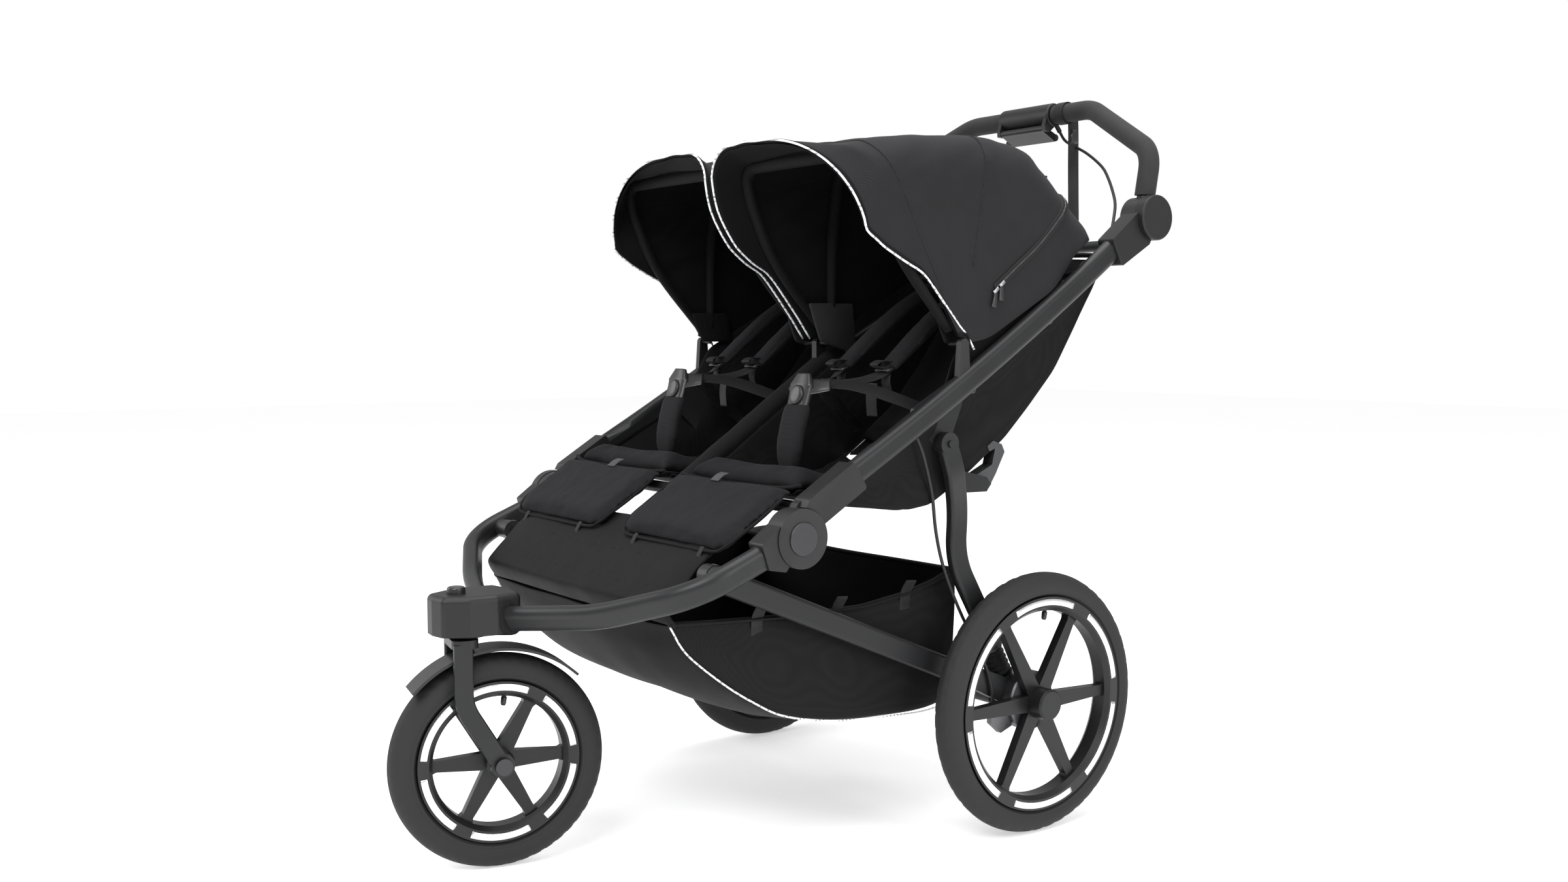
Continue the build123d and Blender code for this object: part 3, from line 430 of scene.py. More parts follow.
def netting(name, color):
    material, tree, bsdf = new_material(name)
    cells = tree.nodes.new("ShaderNodeTexVoronoi")
    cells.feature = "DISTANCE_TO_EDGE"
    dial(cells, Scale=420.0)
    tree.links.new(scaled(tree, (1, 1, 1)), cells.inputs["Vector"])
    shade(tree, bsdf, color, 1.6, 0.35, maths(tree, "MULTIPLY", cells.outputs["Distance"], 3.0))
    relief(tree, bsdf, cells.outputs["Distance"], 0.6, 0.6)
    rough_between(tree, bsdf, 0.65, 0.85, mottle(tree, 25.0))
    dial(bsdf, Sheen_Weight=0.03)
    return material


def piping(name):
    """Reflective cord: silver stitches on a dark edge."""
    material, tree, bsdf = new_material(name)
    dashes = maths(tree, "MAXIMUM", bands(tree, 7.0, "Z"), bands(tree, 7.0, "Y"))
    shade(tree, bsdf, (0.78, 0.78, 0.8), 0.35, 1.0, maths(tree, "GREATER_THAN", dashes, 0.35))
    rough_between(tree, bsdf, 0.3, 0.5, mottle(tree, 60.0))
    return material


FRAME = coated("frame_coat", (0.0125, 0.0128, 0.0136), 0.38, 0.2, 1100.0, 0.03, 0.10)
RAIL = coated("rail_coat", (0.010, 0.0102, 0.011), 0.40, 0.2, 1100.0, 0.03, 0.10)
HOUSING = coated("housing_nylon", (0.007, 0.007, 0.0076), 0.46, 0.0, 700.0, 0.10, 0.12)
GLOSS = coated("smooth_plastic", (0.014, 0.014, 0.015), 0.30, 0.0, 400.0, 0.02, 0.1, 0.1)
FENDER = coated("fender_plastic", (0.006, 0.006, 0.0066), 0.34, 0.0, 500.0, 0.04, 0.1, 0.1)
RIM = coated("rim_composite", (0.0065, 0.0066, 0.0072), 0.36, 0.05, 800.0, 0.05, 0.12)
PEDAL = coated("pedal_nylon", (0.009, 0.009, 0.0096), 0.55, 0.0, 500.0, 0.12, 0.15)
STEEL = metal("zinc_steel", (0.32, 0.32, 0.33), 0.34)
DRUM = metal("drum_steel", (0.16, 0.16, 0.17), 0.45)
# painted reflection: a bright metal strip that stands for the light seen in the rims' wells
PAINTED_REFLECTION = metal("bright_strip", (0.75, 0.75, 0.76), 0.24)
CAST = metal("cast_grey", (0.085, 0.087, 0.09), 0.5)
BADGE = metal("badge_disc", (0.06, 0.06, 0.063), 0.42, (1, 1, 8))
TYRE = rubber("tyre_rubber", (0.0115, 0.0115, 0.012), 0.72)
BELLOWS = rubber("bellows_rubber", (0.008, 0.008, 0.0085), 0.6, 300.0, 0.08)
SHEATH = rubber("cable_sheath", (0.008, 0.008, 0.0085), 0.45, 300.0, 0.04)
GRIP = foam("grip_foam", (0.0095, 0.0095, 0.010))
CANOPY = cloth("canopy_twill", (0.0135, 0.0135, 0.0145), 1.0, True, 0.72, 0.30, 0.20)
LINING = cloth("canopy_lining", (0.005, 0.005, 0.0055), 1.2, False, 0.8, 0.12, 0.25)
SEAT = cloth("seat_weave", (0.0075, 0.0075, 0.0085), 1.3, False, 0.82, 0.25, 0.25)
SHELL = cloth("seat_shell", (0.0065, 0.0065, 0.007), 1.2, False, 0.78, 0.16, 0.35)
PADDING = cloth("calf_weave", (0.0095, 0.0095, 0.0105), 1.4, True, 0.82, 0.25, 0.2)
BASKET = cloth("basket_nylon", (0.006, 0.006, 0.0065), 1.0, False, 0.66, 0.12, 0.35)
MESH = netting("basket_mesh", (0.006, 0.006, 0.0065))
POCKET = netting("pocket_mesh", (0.0055, 0.0055, 0.006))
KNIT = cloth("pad_knit", (0.011, 0.011, 0.012), 1.7, False, 0.88, 0.35, 0.15, 0.8)
STRAP = webbing("harness_webbing", (0.009, 0.009, 0.0095))
TAB = webbing("grey_tab", (0.055, 0.055, 0.058))
ZIP = coated("zip_tape", (0.0025, 0.0025, 0.003), 0.7, 0.0, 900.0, 0.2, 0.1)
PIPE = piping("reflective_piping")

by_slot = {"frame_metal": FRAME, "rail_metal": RAIL, "wire_metal": STEEL, "housing_plastic": HOUSING,
           "pedal_plastic": PEDAL, "button_plastic": GLOSS, "fender_plastic": FENDER, "rim_plastic": RIM,
           "cap_metal": BADGE, "drum_metal": DRUM, "lever_metal": FRAME, "latch_metal": CAST, "tyre": TYRE,
           "bellows_rubber": BELLOWS, "grip_foam": GRIP, "seat_fabric": SEAT, "pad_fabric": KNIT,
           "canopy_fabric": CANOPY, "basket_fabric": BASKET, "footrest_fabric": BASKET,
           "strap_webbing": STRAP, "cable_sheath": SHEATH}
for part in frame["record"]["subparts"]:
    paint(frame["nodes"][part["node"]], by_slot[part["material_slot"]])


def place(obj, material, body, *nodes):
    """Finishes a piece: its material and body, and hides the CAD nodes it stands for."""
    if material is not None:
        paint(obj, material)
    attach(obj, body)
    if nodes:
        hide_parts(*nodes)
    return obj


# ---------------------------------------------------------------- lines of the frame
TUBE_Y, TUBE_Z, TUBE_SLOPE = -398, 545, 0.625    # the side tube's front hinge, and its rise per length
TUBE_RUN, TUBE_SAG = 608, 13.6                   # how far it runs back, and how far its middle hangs
RAIL_Y, RAIL_Z, RAIL_SLOPE = -424, 524, 0.6831   # the middle rail's front end and rise
BEND_Y, BEND_Z, BEND_SLOPE = -140, 718, 0.5169   # the rail's bend, and its rise behind it
BEND_HALF = 40.0                                 # half the length of the bend


def tube_z(y):
    """Height of the side tube's middle."""
    f = (y - TUBE_Y) / TUBE_RUN
    return TUBE_Z + TUBE_SLOPE * (y - TUBE_Y) - TUBE_SAG * 4 * f * (1 - f)


def rail_z(y):
    """Height of the middle rail."""
    low, high = RAIL_Z + (y - RAIL_Y) * RAIL_SLOPE, BEND_Z + (y - BEND_Y) * BEND_SLOPE
    t = min(1, max(0, (y - BEND_Y + BEND_HALF) / (2 * BEND_HALF)))
    return low + (high - low) * t * t * (3 - 2 * t)


def lerp(a, b, t):
    return a + (b - a) * t


def table(points, x):
    """Straight lines between (x, value...) points."""
    if x <= points[0][0]:
        return points[0][1:]
    for a, b in zip(points, points[1:]):
        if x <= b[0]:
            t = (x - a[0]) / (b[0] - a[0])
            return tuple(lerp(p, q, t) for p, q in zip(a[1:], b[1:]))
    return points[-1][1:]


# ---------------------------------------------------------------- canopies
PIVOT = (-150.0, 748.0)          # where the bows turn, (y, z)
INNER, OUTER = 8.0, 346.0        # the left canopy's inner and outer faces, x


def ray(radius, angle):
    """The (y, z) point at a radius and an angle in degrees from the bows' pivot."""
    turn = math.radians(angle)
    return PIVOT[0] + radius * math.cos(turn), PIVOT[1] + radius * math.sin(turn)


# side outlines of the front edge, from the foot up, (y, z), and the arches behind it, (angle, radius)
edge_outer = [(-127, 748), (-152, 770), (-190, 811), (-224, 848), (-262, 865), (-298, 883), (-330, 905)]
edge_inner = [(-174, 755), (-200, 790), (-228, 824), (-256, 857), (-290, 874), (-318, 897), (-340, 926),
              (-354, 954), (-361, 980), (-364, 1000)]
stations = [(123, 334), (116, 322), (109, 314), (101, 309), (93, 308), (86, 309), (80, 314), (73, 323),
            (66, 334), (59, 337), (52, 331), (45, 335), (38, 344), (32, 350), (28.5, 352)]
SIDE_N, TURN_N, TOP_N = 14, 14, 8    # points up a side, round a corner and over the top


def along_line(points, t):
    """Point at a share of a line's length."""
    lengths = [0.0]
    for a, b in zip(points, points[1:]):
        lengths.append(lengths[-1] + math.hypot(b[0] - a[0], b[1] - a[1]))
    want = t * lengths[-1]
    for i in range(len(points) - 1):
        if want <= lengths[i + 1] or i == len(points) - 2:
            k = (want - lengths[i]) / max(1e-9, lengths[i + 1] - lengths[i])
            return lerp(points[i][0], points[i + 1][0], k), lerp(points[i][1], points[i + 1][1], k)
    return points[-1]


def arch_row(station, inset):
    """One arch of the canopy, from its outer foot over the top to its inner foot, in millimetres."""
    row = []
    width_in, width_out = INNER + inset, OUTER - inset
    if station == "edge":
        top = (-366 + inset * 0.6, 1047 - inset)
        legs = (edge_outer, edge_inner)
        corners = (208, 52)
    else:
        angle, radius = station
        top = ray(radius - inset, angle)
        corners = (66, 56)
        legs = tuple([ray(14, angle), ray(radius - c * 0.98, angle)] for c in corners)
    for i in range(SIDE_N):
        y, z = along_line(legs[0], i / SIDE_N)
        row.append((width_out, y, z))
    c = corners[0]
    foot = legs[0][-1]
    for i in range(TURN_N):
        t = math.pi / 2 * i / TURN_N
        row.append((width_out - (c - inset) * (1 - math.cos(t)), lerp(foot[0], top[0], math.sin(t)),
                    lerp(foot[1], top[1], math.sin(t))))
    left, right = width_out - (c - inset), width_in + (corners[1] - inset)
    for i in range(TOP_N):
        t = i / TOP_N
        crown = 0.015 * (left - right) * (1 - math.cos(2 * math.pi * t))
        row.append((lerp(left, right, t), top[0], top[1] + crown))
    c = corners[1]
    foot = legs[1][-1]
    for i in range(TURN_N):
        t = math.pi / 2 * (1 - i / TURN_N)
        row.append((width_in + (c - inset) * (1 - math.cos(t)), lerp(foot[0], top[0], math.sin(t)),
                    lerp(foot[1], top[1], math.sin(t))))
    for i in range(SIDE_N + 1):
        y, z = along_line(legs[1], 1 - i / SIDE_N)
        row.append((width_in, y, z))
    return row


def clear_of_tube(x, y, z):
    """Rests the canopy's lower rear edge on the side tube, tucked inside the tube towards the handle."""
    if x > 250:
        angle = math.degrees(math.atan2(z - PIVOT[1], y - PIVOT[0]))
        reach = min(1.0, math.hypot(y - PIVOT[0], z - PIVOT[1]) / 60) * min(1.0, (x - 250) / 60)
        z -= 21 * reach * min(1.0, max(0.0, (50 - angle) / 20)) * min(1.0, max(0.0, (140 - y) / 90))
    if x > 300 and y > -60:
        above = z - tube_z(y)
        tuck = min(1.0, max(0.0, (y - 40) / 70)) * min(1.0, max(0.0, (58 - above) / 30))
        x -= tuck * max(0.0, x - 316)
        if x > 318:
            z = max(z, tube_z(y) + 23)
    return x, y, z


def canopy_rows(inset, folds):
    """Rows of a canopy sheet this far inside the outer face, with folds of this height in millimetres."""
    rows_mm = []
    keys = ["edge"] + stations
    for a, b in zip(keys, keys[1:]):
        first, second = arch_row(a, inset), arch_row(b, inset)
        steps = 6 if a == "edge" else 3
        for s in range(steps):
            between = s / steps
            rows_mm.append([tuple(lerp(p, q, between) for p, q in zip(*ends)) for ends in zip(first, second)])
    rows_mm.append(arch_row(keys[-1], inset))
    last = len(rows_mm) - 1
    rows = []
    for i, row in enumerate(rows_mm):
        out = []
        for j, (x, y, z) in enumerate(row):
            u = i / last
            free = min(1.0, u * 5) * min(1.0, (1 - u) * 6)
            across = (y * 0.5 - z * 0.86) / 42.0
            lengthwise = (y * 0.86 + z * 0.5) / 190.0
            ripple = noise.noise(Vector((across, lengthwise, x / 130.0 + 3.7)))
            ripple += 0.45 * noise.noise(Vector((across * 2.3, lengthwise * 1.4, x / 70.0 + 9.1)))
            height = min(1.0, max(0.0, (math.hypot(y - PIVOT[0], z - PIVOT[1]) - 60) / 160))
            push = folds * ripple * free * height
            away = Vector(((x - 177) / 170, (y - PIVOT[0]) / 500, (z - PIVOT[1]) / 420)).normalized()
            x += push * away.x * (1.0 if x > 177 else 0.6)
            y += push * away.y
            z += push * away.z
            out.append(P(*clear_of_tube(x, y, z)))
        rows.append(out)
    return rows


shell_rows, lining_rows = canopy_rows(1.5, 6.0), canopy_rows(7.0, 4.0)
shell = sheet("canopy_cloth_left", shell_rows, 1.6, CANOPY)
inside = sheet("canopy_lining_left", lining_rows, 1.2, LINING)
edge_cord = rod("canopy_piping_left", shell_rows[0], 1.6, 1.6, PIPE, per=2, n=8)
hem_line = [p + (q - p).normalized() * 0.005 for p, q in zip(shell_rows[0][6:-6], shell_rows[3][6:-6])]
hem = rod("canopy_hem_left", hem_line, 2.0, 2.0, LINING, per=2, n=10)
low_line = [row[0] + Vector((0.0006, 0, 0.001)) for row in shell_rows[4:]]
low_hem = rod("canopy_low_hem_left", low_line, 2.6, 2.6, LINING, per=1, n=8)

SIDEWAYS = Vector((1, 0, 0))
CANOPY_MIDDLE = P(177, -60, 850)
zip_line = [P(347.5, -90, 822), P(348.5, -74, 838), P(349, -41, 861), P(349, 0, 891), P(348, 36, 928),
            P(344, 54, 948), P(337, 68, 964), P(318, 84, 981), P(290, 90, 988)]
skin = [p for row in shell_rows for p in row if p.x > 0.2]
for i, p in enumerate(zip_line):       # the zip lies on the nearest point of the cloth
    close = min(skin, key=lambda q: (q - p).length)
    zip_line[i] = close + (close - CANOPY_MIDDLE).normalized() * 0.0022
zip_up = [SIDEWAYS] * 4 + [Vector(v) for v in ((0.9, 0.2, 0.3), (0.75, 0.3, 0.6), (0.5, 0.35, 0.8),
                                               (0.3, 0.4, 0.9), (0.1, 0.4, 0.95))]
tape = strap("canopy_zip_left", zip_line, 13.0, 1.8, zip_up, ZIP)
teeth = rod("canopy_zip_teeth_left", [p + Vector((0.0008, 0, 0.0003)) for p in zip_line], 1.7, 1.5, GLOSS,
            per=10, n=6, grow=lambda t: 1.0 + 0.25 * math.sin(t * 900))
pulls = []
for k, (y, z) in enumerate(((-88, 826), (-76, 836))):
    tongue = [P(349, y, z), P(350.5, y - 2, z - 9), P(350, y - 5 + 3 * k, z - 24)]
    runner = [P(348.5, y - 4, z - 3), P(349, y, z), P(348.5, y + 5, z + 4)]
    pulls.append(strap(f"pull_{k}", tongue, 6.5, 2.4, SIDEWAYS, GLOSS, grow=lambda t: 0.75 + 0.5 * t))
    pulls.append(strap(f"slider_{k}", runner, 6.0, 4.5, SIDEWAYS, STEEL))


def seam(name, row_index, first, last, size, lift):
    """A sewn ridge along one arch of the canopy."""
    line = [p + (p - CANOPY_MIDDLE).normalized() * lift for p in shell_rows[row_index][first:last]]
    return rod(name, line, size, size * 0.6, CANOPY, per=2, n=6)


rib_a = seam("canopy_seam_a_left", 8, 3, -3, 1.6, 0.0012)
rib_b = seam("canopy_seam_b_left", 24, 6, -6, 1.5, 0.0012)


def flap_point(u, v):
    lift = 3 + 14 * v ** 2 + 5.0 * math.sin(u * math.pi)
    return P(lerp(130, 282, u), *ray(lerp(338, 333, v) + lift, lerp(62, 48, v)))


flap_rows = surface_rows(flap_point, 12, 8)
flap = sheet("canopy_flap_left", flap_rows, 2.2, CANOPY)
flap_hem = rod("canopy_flap_hem_left", flap_rows[-1], 2.0, 2.0, LINING, per=2, n=8)


def bow_route(inset, radius, angle, bend):
    """The line of a wire bow's sleeve, from its inner foot over the top to its outer foot."""
    leg = [(0, ray(24, angle)), (0, ray(radius * 0.5, angle + bend)),
           (0, ray(radius * 0.78, angle + bend * 0.45)), (3, ray(radius * 0.93, angle + bend * 0.1)),
           (22, ray(radius * 0.99, angle)), (60, ray(radius, angle))]
    return ([P(INNER + inset + x, *yz) for x, yz in leg]
            + [P(OUTER - inset - x, *yz) for x, yz in reversed(leg)])


def sleeve(name, route, a, b):
    return rod(name, route, a, b, LINING, n=14, grow=lambda t: 0.75 + 0.25 * min(1, 8 * min(t, 1 - t)))


front_sleeve = sleeve("bow_sleeve_left", bow_route(17, 316, 122, 8), 8.0, 9.5)
mid_sleeve = sleeve("mid_bow_sleeve_left", bow_route(25, 289, 86, 3), 8.5, 6.0)


def pocket_in_point(u, v):
    """The mesh pocket that hangs inside the canopy's inner wall."""
    bulge = 7 * math.sin(math.pi * u) * math.sin(math.pi * (0.15 + 0.7 * v))
    return P(33 + bulge, lerp(lerp(-196, -172, v), lerp(-104, -96, v), u), lerp(812, lerp(750, 728, u), v))


def pocket_out_point(u, v):
    y = lerp(lerp(-190, -165, v), lerp(-110, -100, v), u)
    return P(322 - 5 * math.sin(math.pi * u), y, lerp(800, 748, v))


pocket_in_rows, pocket_out_rows = surface_rows(pocket_in_point, 11, 11), surface_rows(pocket_out_point, 7, 7)
pocket_in = sheet("canopy_pocket_left", pocket_in_rows, 3.0, POCKET)
pocket_out = sheet("canopy_pocket_outer_left", pocket_out_rows, 2.5, LINING)


# ---------------------------------------------------------------- soft goods helpers
def sheet_sizes(rows):
    """Cut width, length and area of a sheet through rows of points."""
    def run(points):
        return sum((b - a).length for a, b in zip(points, points[1:]))
    width = sum(run(row) for row in rows) / len(rows)
    columns = list(zip(*rows))
    length = sum(run(column) for column in columns) / len(columns)
    area = 0.0
    for r1, r2 in zip(rows, rows[1:]):
        for a, b, c, d in zip(r1, r1[1:], r2[1:], r2):
            area += ((b - a).cross(c - a).length + (c - a).cross(d - a).length) / 2
    return width, length, area


def declare(rows):
    """Works out a sheet's cut width, length and area, which are not used further. Never
    smaller than its area.
    """
    width, length, area = sheet_sizes(rows)


def slab(name, surface, thick, nu=40, nv=40, edge=0.16):
    """A closed pad on a surface(u, v) -> (point, normal), its thickness tapering to a rounded rim."""
    top, low = [], []
    for i in range(nv + 1):
        v = i / nv
        row_top, row_low = [], []
        for j in range(nu + 1):
            u = j / nu
            p, n = surface(u, v)
            rim = min(u, 1 - u, v, 1 - v) / edge
            k = math.sqrt(max(0.0, 1 - (1 - min(1.0, rim)) ** 2))
            row_top.append(p + n * (thick * k / 1000))
            row_low.append(p - n * (thick * 0.18 * k / 1000))
        top.append(row_top)
        low.append(row_low)
    obj = grid(name, top)
    return outward(obj, weld=2e-5, other=grid(name + "_low", low, flip=True))


def inflate(obj, voxel=5.0, cap=9.0, pressure=4.0, press=()):
    """Swells a pad as cloth under pressure, no point moving further than cap."""
    remesh = obj.modifiers.new("remesh", "REMESH")
    remesh.mode = "VOXEL"
    remesh.voxel_size = voxel / 1000
    settle(obj)
    start = [v.co.copy() for v in obj.data.vertices]
    sim = obj.modifiers.new("cloth", "CLOTH")
    sim.settings.quality = 4
    sim.settings.mass = 0.3
    sim.settings.use_pressure = True
    sim.settings.uniform_pressure_force = pressure
    sim.settings.tension_stiffness = sim.settings.compression_stiffness = 12
    sim.settings.bending_stiffness = 0.4
    sim.settings.effector_weights.gravity = 0
    sim.collision_settings.use_collision = False
    scene = bpy.context.scene
    for moment in range(1, 21):
        scene.frame_set(moment)
    graph = bpy.context.evaluated_depsgraph_get()
    swollen = [v.co.copy() for v in obj.evaluated_get(graph).data.vertices]
    obj.modifiers.clear()
    scene.frame_set(1)
    for vertex, a, b in zip(obj.data.vertices, start, swollen):
        step = b - a
        if step.length > cap / 1000:
            step *= cap / 1000 / step.length
        vertex.co = a + step
    bm = bmesh.new()
    bm.from_mesh(obj.data)
    for _ in range(2):
        bmesh.ops.smooth_vert(bm, verts=bm.verts, factor=0.5, use_axis_x=True, use_axis_y=True,
                              use_axis_z=True)
    bm.to_mesh(obj.data)
    bm.free()
    smooth = obj.modifiers.new("smooth", "SUBSURF")
    smooth.levels = smooth.render_levels = 1
    settle(obj)
    for line, depth, width in press:
        sew(obj, line, depth, width)
    return obj


def sew(obj, line, depth, width):
    """Presses a stitched channel into a pad along a line of points, with small puckers beside it."""
    dense = curve_points(line, 14)
    tree = KDTree(len(dense))
    for i, p in enumerate(dense):
        tree.insert(p, i)
    tree.balance()
    normals = [v.normal.copy() for v in obj.data.vertices]
    for vertex, normal in zip(obj.data.vertices, normals):
        _, index, gap = tree.find(vertex.co)
        if gap < width * 4 / 1000:
            k = math.exp(-(gap / (width / 1000)) ** 2)
            wave = 1 + 0.35 * math.sin(index * 1.9) * min(1.0, gap / (width / 1000))
            vertex.co -= normal * (depth / 1000 * k * wave)
    obj.data.update()


def both(piece, body, nodes=(), squash=None, cloth=None):
    """Places a left piece and its right twin, each on its own side's body. HAND in a name is the side.
    squash, when given, only gives each piece a mesh of its own, and cloth is a sheet's (rows, held,
    rests_on)."""
    for item, hand in ((piece, "left"), (twin(piece), "right")):
        place(item, None, body.replace("HAND", hand), *[n.replace("HAND", hand) for n in nodes])
        if squash:
            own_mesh(item)
        if cloth:
            rows, held, rests_on = cloth
            declare(rows)


# ---------------------------------------------------------------- canopies, placed
trims = join("canopy_trim_left", [edge_cord, hem, low_hem, tape, teeth, rib_a, rib_b, flap_hem] + pulls)
canopy_left = {"cover": shell, "lining": inside, "flap": flap, "trim": trims, "front": front_sleeve,
               "mid": mid_sleeve, "pocket": pocket_in, "outer": pocket_out}
canopy_right = {key: twin(item) for key, item in canopy_left.items()}
for hand, items in (("left", canopy_left), ("right", canopy_right)):
    place(items["front"], None, f"canopy_front_{hand}", f"canopy_bow_{hand}")
    place(items["mid"], None, f"canopy_mid_{hand}", f"canopy_mid_bow_{hand}")
    for key in ("pocket", "outer", "cover", "lining", "flap", "trim"):
        place(items[key], None, "upper_frame", *([f"canopy_{hand}"] if key == "cover" else []))
    for key in ("cover", "lining", "flap", "trim"):
        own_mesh(items[key])
    declare(shell_rows)
    declare(lining_rows)
    declare(flap_rows)
    declare(pocket_in_rows)
    declare(pocket_out_rows)

# ---------------------------------------------------------------- seats
IN, OUT = 24.0, 318.0            # the left seat's inner and outer sides, x
under_line = [(-431, 541), (-405, 537), (-364, 528), (-300, 517), (-232, 508), (-190, 513), (-161, 528),
              (-113, 556), (-72, 584), (-41, 603), (10, 650), (66, 706), (112, 775), (160, 852)]
floor_line = [p for p in under_line if p[0] <= -113]



def side_rows(label, x_top, x_low, height):
    """Rows of the cloth that hangs from the tube or the rail down to the seat's floor."""
    rows = []
    for i in range(61):
        y = lerp(-424, 158, i / 60)
        z_top, z_low = height(y) - 9, table(under_line, y)[0]
        wing = min(1.0, (y + 190) / 40) if label == "outer" and y > -190 else 0.0
        if wing:                       # the wing beside the seat back reaches up to the canopy
            up_to = PIVOT[1] + (y - PIVOT[0]) * 0.543 - 12
            z_top = lerp(z_top, max(z_top, up_to), wing * min(1.0, max(0.0, (120 - y) / 60)))
        z_top = max(z_top, z_low + 6)
        row = []
        for j in range(15):
            t = j / 14
            sag = math.sin(math.pi * t) * min(1.0, (z_top - z_low) / 90)
            fold = noise.noise(Vector((y / 46.0, t * 1.4 + 2, 3.0 if label == "outer" else 8.0)))
            x = lerp(x_top, x_low, min(1.0, t * 1.8)) - 9.0 * wing * (1 - t) ** 0.5
            x += 3.2 * fold * sag + (2.0 * sag if label == "outer" else -1.0 * sag)
            row.append(P(x, y, z_top - (z_top - z_low) * t))
        rows.append(row)
    return rows


def floor_point(u, v):
    """The cloth under the cushion, turned up at its sides."""
    y = lerp(-432, -112, v)
    lift = 10 * max(0.0, 1 - min(u, 1 - u) / 0.07) ** 2
    drop = -5.0 * math.sin(math.pi * u) * math.sin(math.pi * v)
    return P(lerp(IN - 2, OUT + 2, u), y, table(floor_line, y)[0] + lift + drop)


outer_rows, inner_rows = side_rows("outer", 336.0, 320.0, tube_z), side_rows("inner", 17.0, 22.0, rail_z)
side_outer = sheet("seat_side_outer_left", outer_rows, 2.4, SHELL)
side_inner = sheet("seat_side_inner_left", inner_rows, 2.4, SHELL)
floor_rows = surface_rows(floor_point, 32, 40)
seat_floor = sheet("seat_floor_left", floor_rows, 3.0, SHELL, (1.2, 60, 4.0))


def on_curve(profile, x_in, x_out, sink=0.0):
    """A pad's surface over a (y, z) profile between two x values, hollowed in the middle by sink."""
    line = [Vector((0, y, z)) for y, z in profile]
    dense = curve_points(line, 12)
    total = sum((b - a).length for a, b in zip(dense, dense[1:]))

    def surface(u, v):
        want = v * total
        run = 0.0
        for a, b in zip(dense, dense[1:]):
            step = (b - a).length
            if run + step >= want or b is dense[-1]:
                t = (want - run) / step if step else 0
                p = a.lerp(b, min(1.0, t))
                tangent = (b - a).normalized()
                break
            run += step
        normal = Vector((0, -tangent.z, tangent.y))
        hollow = sink * math.sin(math.pi * u) ** 0.7
        p = p - normal * hollow
        return P(lerp(x_in, x_out, u), p.y, p.z), normal
    return surface


cushion_at = on_curve([(-426, 556), (-408, 557), (-364, 544), (-300, 532), (-232, 524), (-185, 530),
                       (-140, 556)], IN + 7, OUT - 8, 5)
cushion = slab("seat_cushion_left", cushion_at, 19, 46, 46, 0.08)


def trace(surface, pairs, lift=0.012):
    return [surface(u, v)[0] + surface(u, v)[1] * lift for u, v in pairs]


inflate(cushion, 6.0, 7.0, 3.5, [
    (trace(cushion_at, [(0.10, 0.09), (0.5, 0.10), (0.90, 0.09)]), 4.0, 3.0),
    (trace(cushion_at, [(0.16, 0.14), (0.15, 0.5), (0.17, 0.92)]), 4.0, 3.2),
    (trace(cushion_at, [(0.84, 0.14), (0.85, 0.5), (0.83, 0.92)]), 4.0, 3.2),
    (trace(cushion_at, [(0.18, 0.62), (0.5, 0.60), (0.82, 0.62)]), 3.5, 3.2)])
crumple(cushion, 1.4, 38, 2.0)
paint(cushion, SEAT)
front_roll = rod("seat_front_piping_left", [P(IN + 1, -430, 551), P(60, -433, 548), P(170, -434, 547),
                                            P(280, -431, 549), P(OUT - 1, -424, 555)], 3.0, 3.0, SHELL, n=10)

back_at = on_curve([(-96, 590), (-60, 612), (-15, 645), (30, 690), (72, 750), (112, 812), (158, 872)],
                   IN + 6, OUT - 8, 6)
back_pad = slab("seat_back_pad_left", back_at, 15, 46, 56, 0.09)
inflate(back_pad, 6.0, 7.0, 3.5, [
    (trace(back_at, [(0.17, 0.06), (0.16, 0.5), (0.18, 0.94)]), 4.0, 3.2),
    (trace(back_at, [(0.83, 0.06), (0.84, 0.5), (0.82, 0.94)]), 4.0, 3.2),
    (trace(back_at, [(0.19, 0.30), (0.5, 0.28), (0.81, 0.30)]), 3.5, 3.2),
    (trace(back_at, [(0.19, 0.62), (0.5, 0.60), (0.81, 0.62)]), 3.5, 3.2)])
crumple(back_pad, 1.4, 42, 6.0)
paint(back_pad, SEAT)

panel_at = on_curve([(-108, 566), (-72, 590), (-20, 632), (30, 676), (62, 708), (100, 760), (140, 820),
                     (182, 884)], IN, OUT - 2, -4)


def panel_point(u, v):
    point, normal = panel_at(u, v)
    return point - normal * 0.004


def back_pocket_point(u, v):
    """The net pocket behind the seat back, standing further out towards its open top."""
    along = 0.18 + 0.36 * v
    out = 0.010 * math.sin(math.pi * v) ** 0.5 + 0.006 * v
    swell = 0.010 + out * math.sin(math.pi * u) ** 0.4
    return panel_at(0.12 + 0.76 * u, along)[0] - panel_at(0.5, along)[1] * swell


panel_rows = surface_rows(panel_point, 26, 36)
back_panel = sheet("seat_back_panel_left", panel_rows, 3.0, SHELL, (2.0, 70, 11.0))
pocket_rows = surface_rows(back_pocket_point, 18, 14)
back_pocket = sheet("seat_back_pocket_left", pocket_rows, 1.6, MESH)
pocket_hem = rod("seat_back_pocket_hem_left", pocket_rows[-1], 3.0, 2.0, STRAP, per=2, n=8)
top_roll = rod("seat_back_top_left", [P(IN, 178, 884), P(60, 182, 889), P(170, 184, 891), P(280, 182, 889),
                                      P(OUT - 2, 178, 884)], 4.0, 4.0, SHELL, n=12)

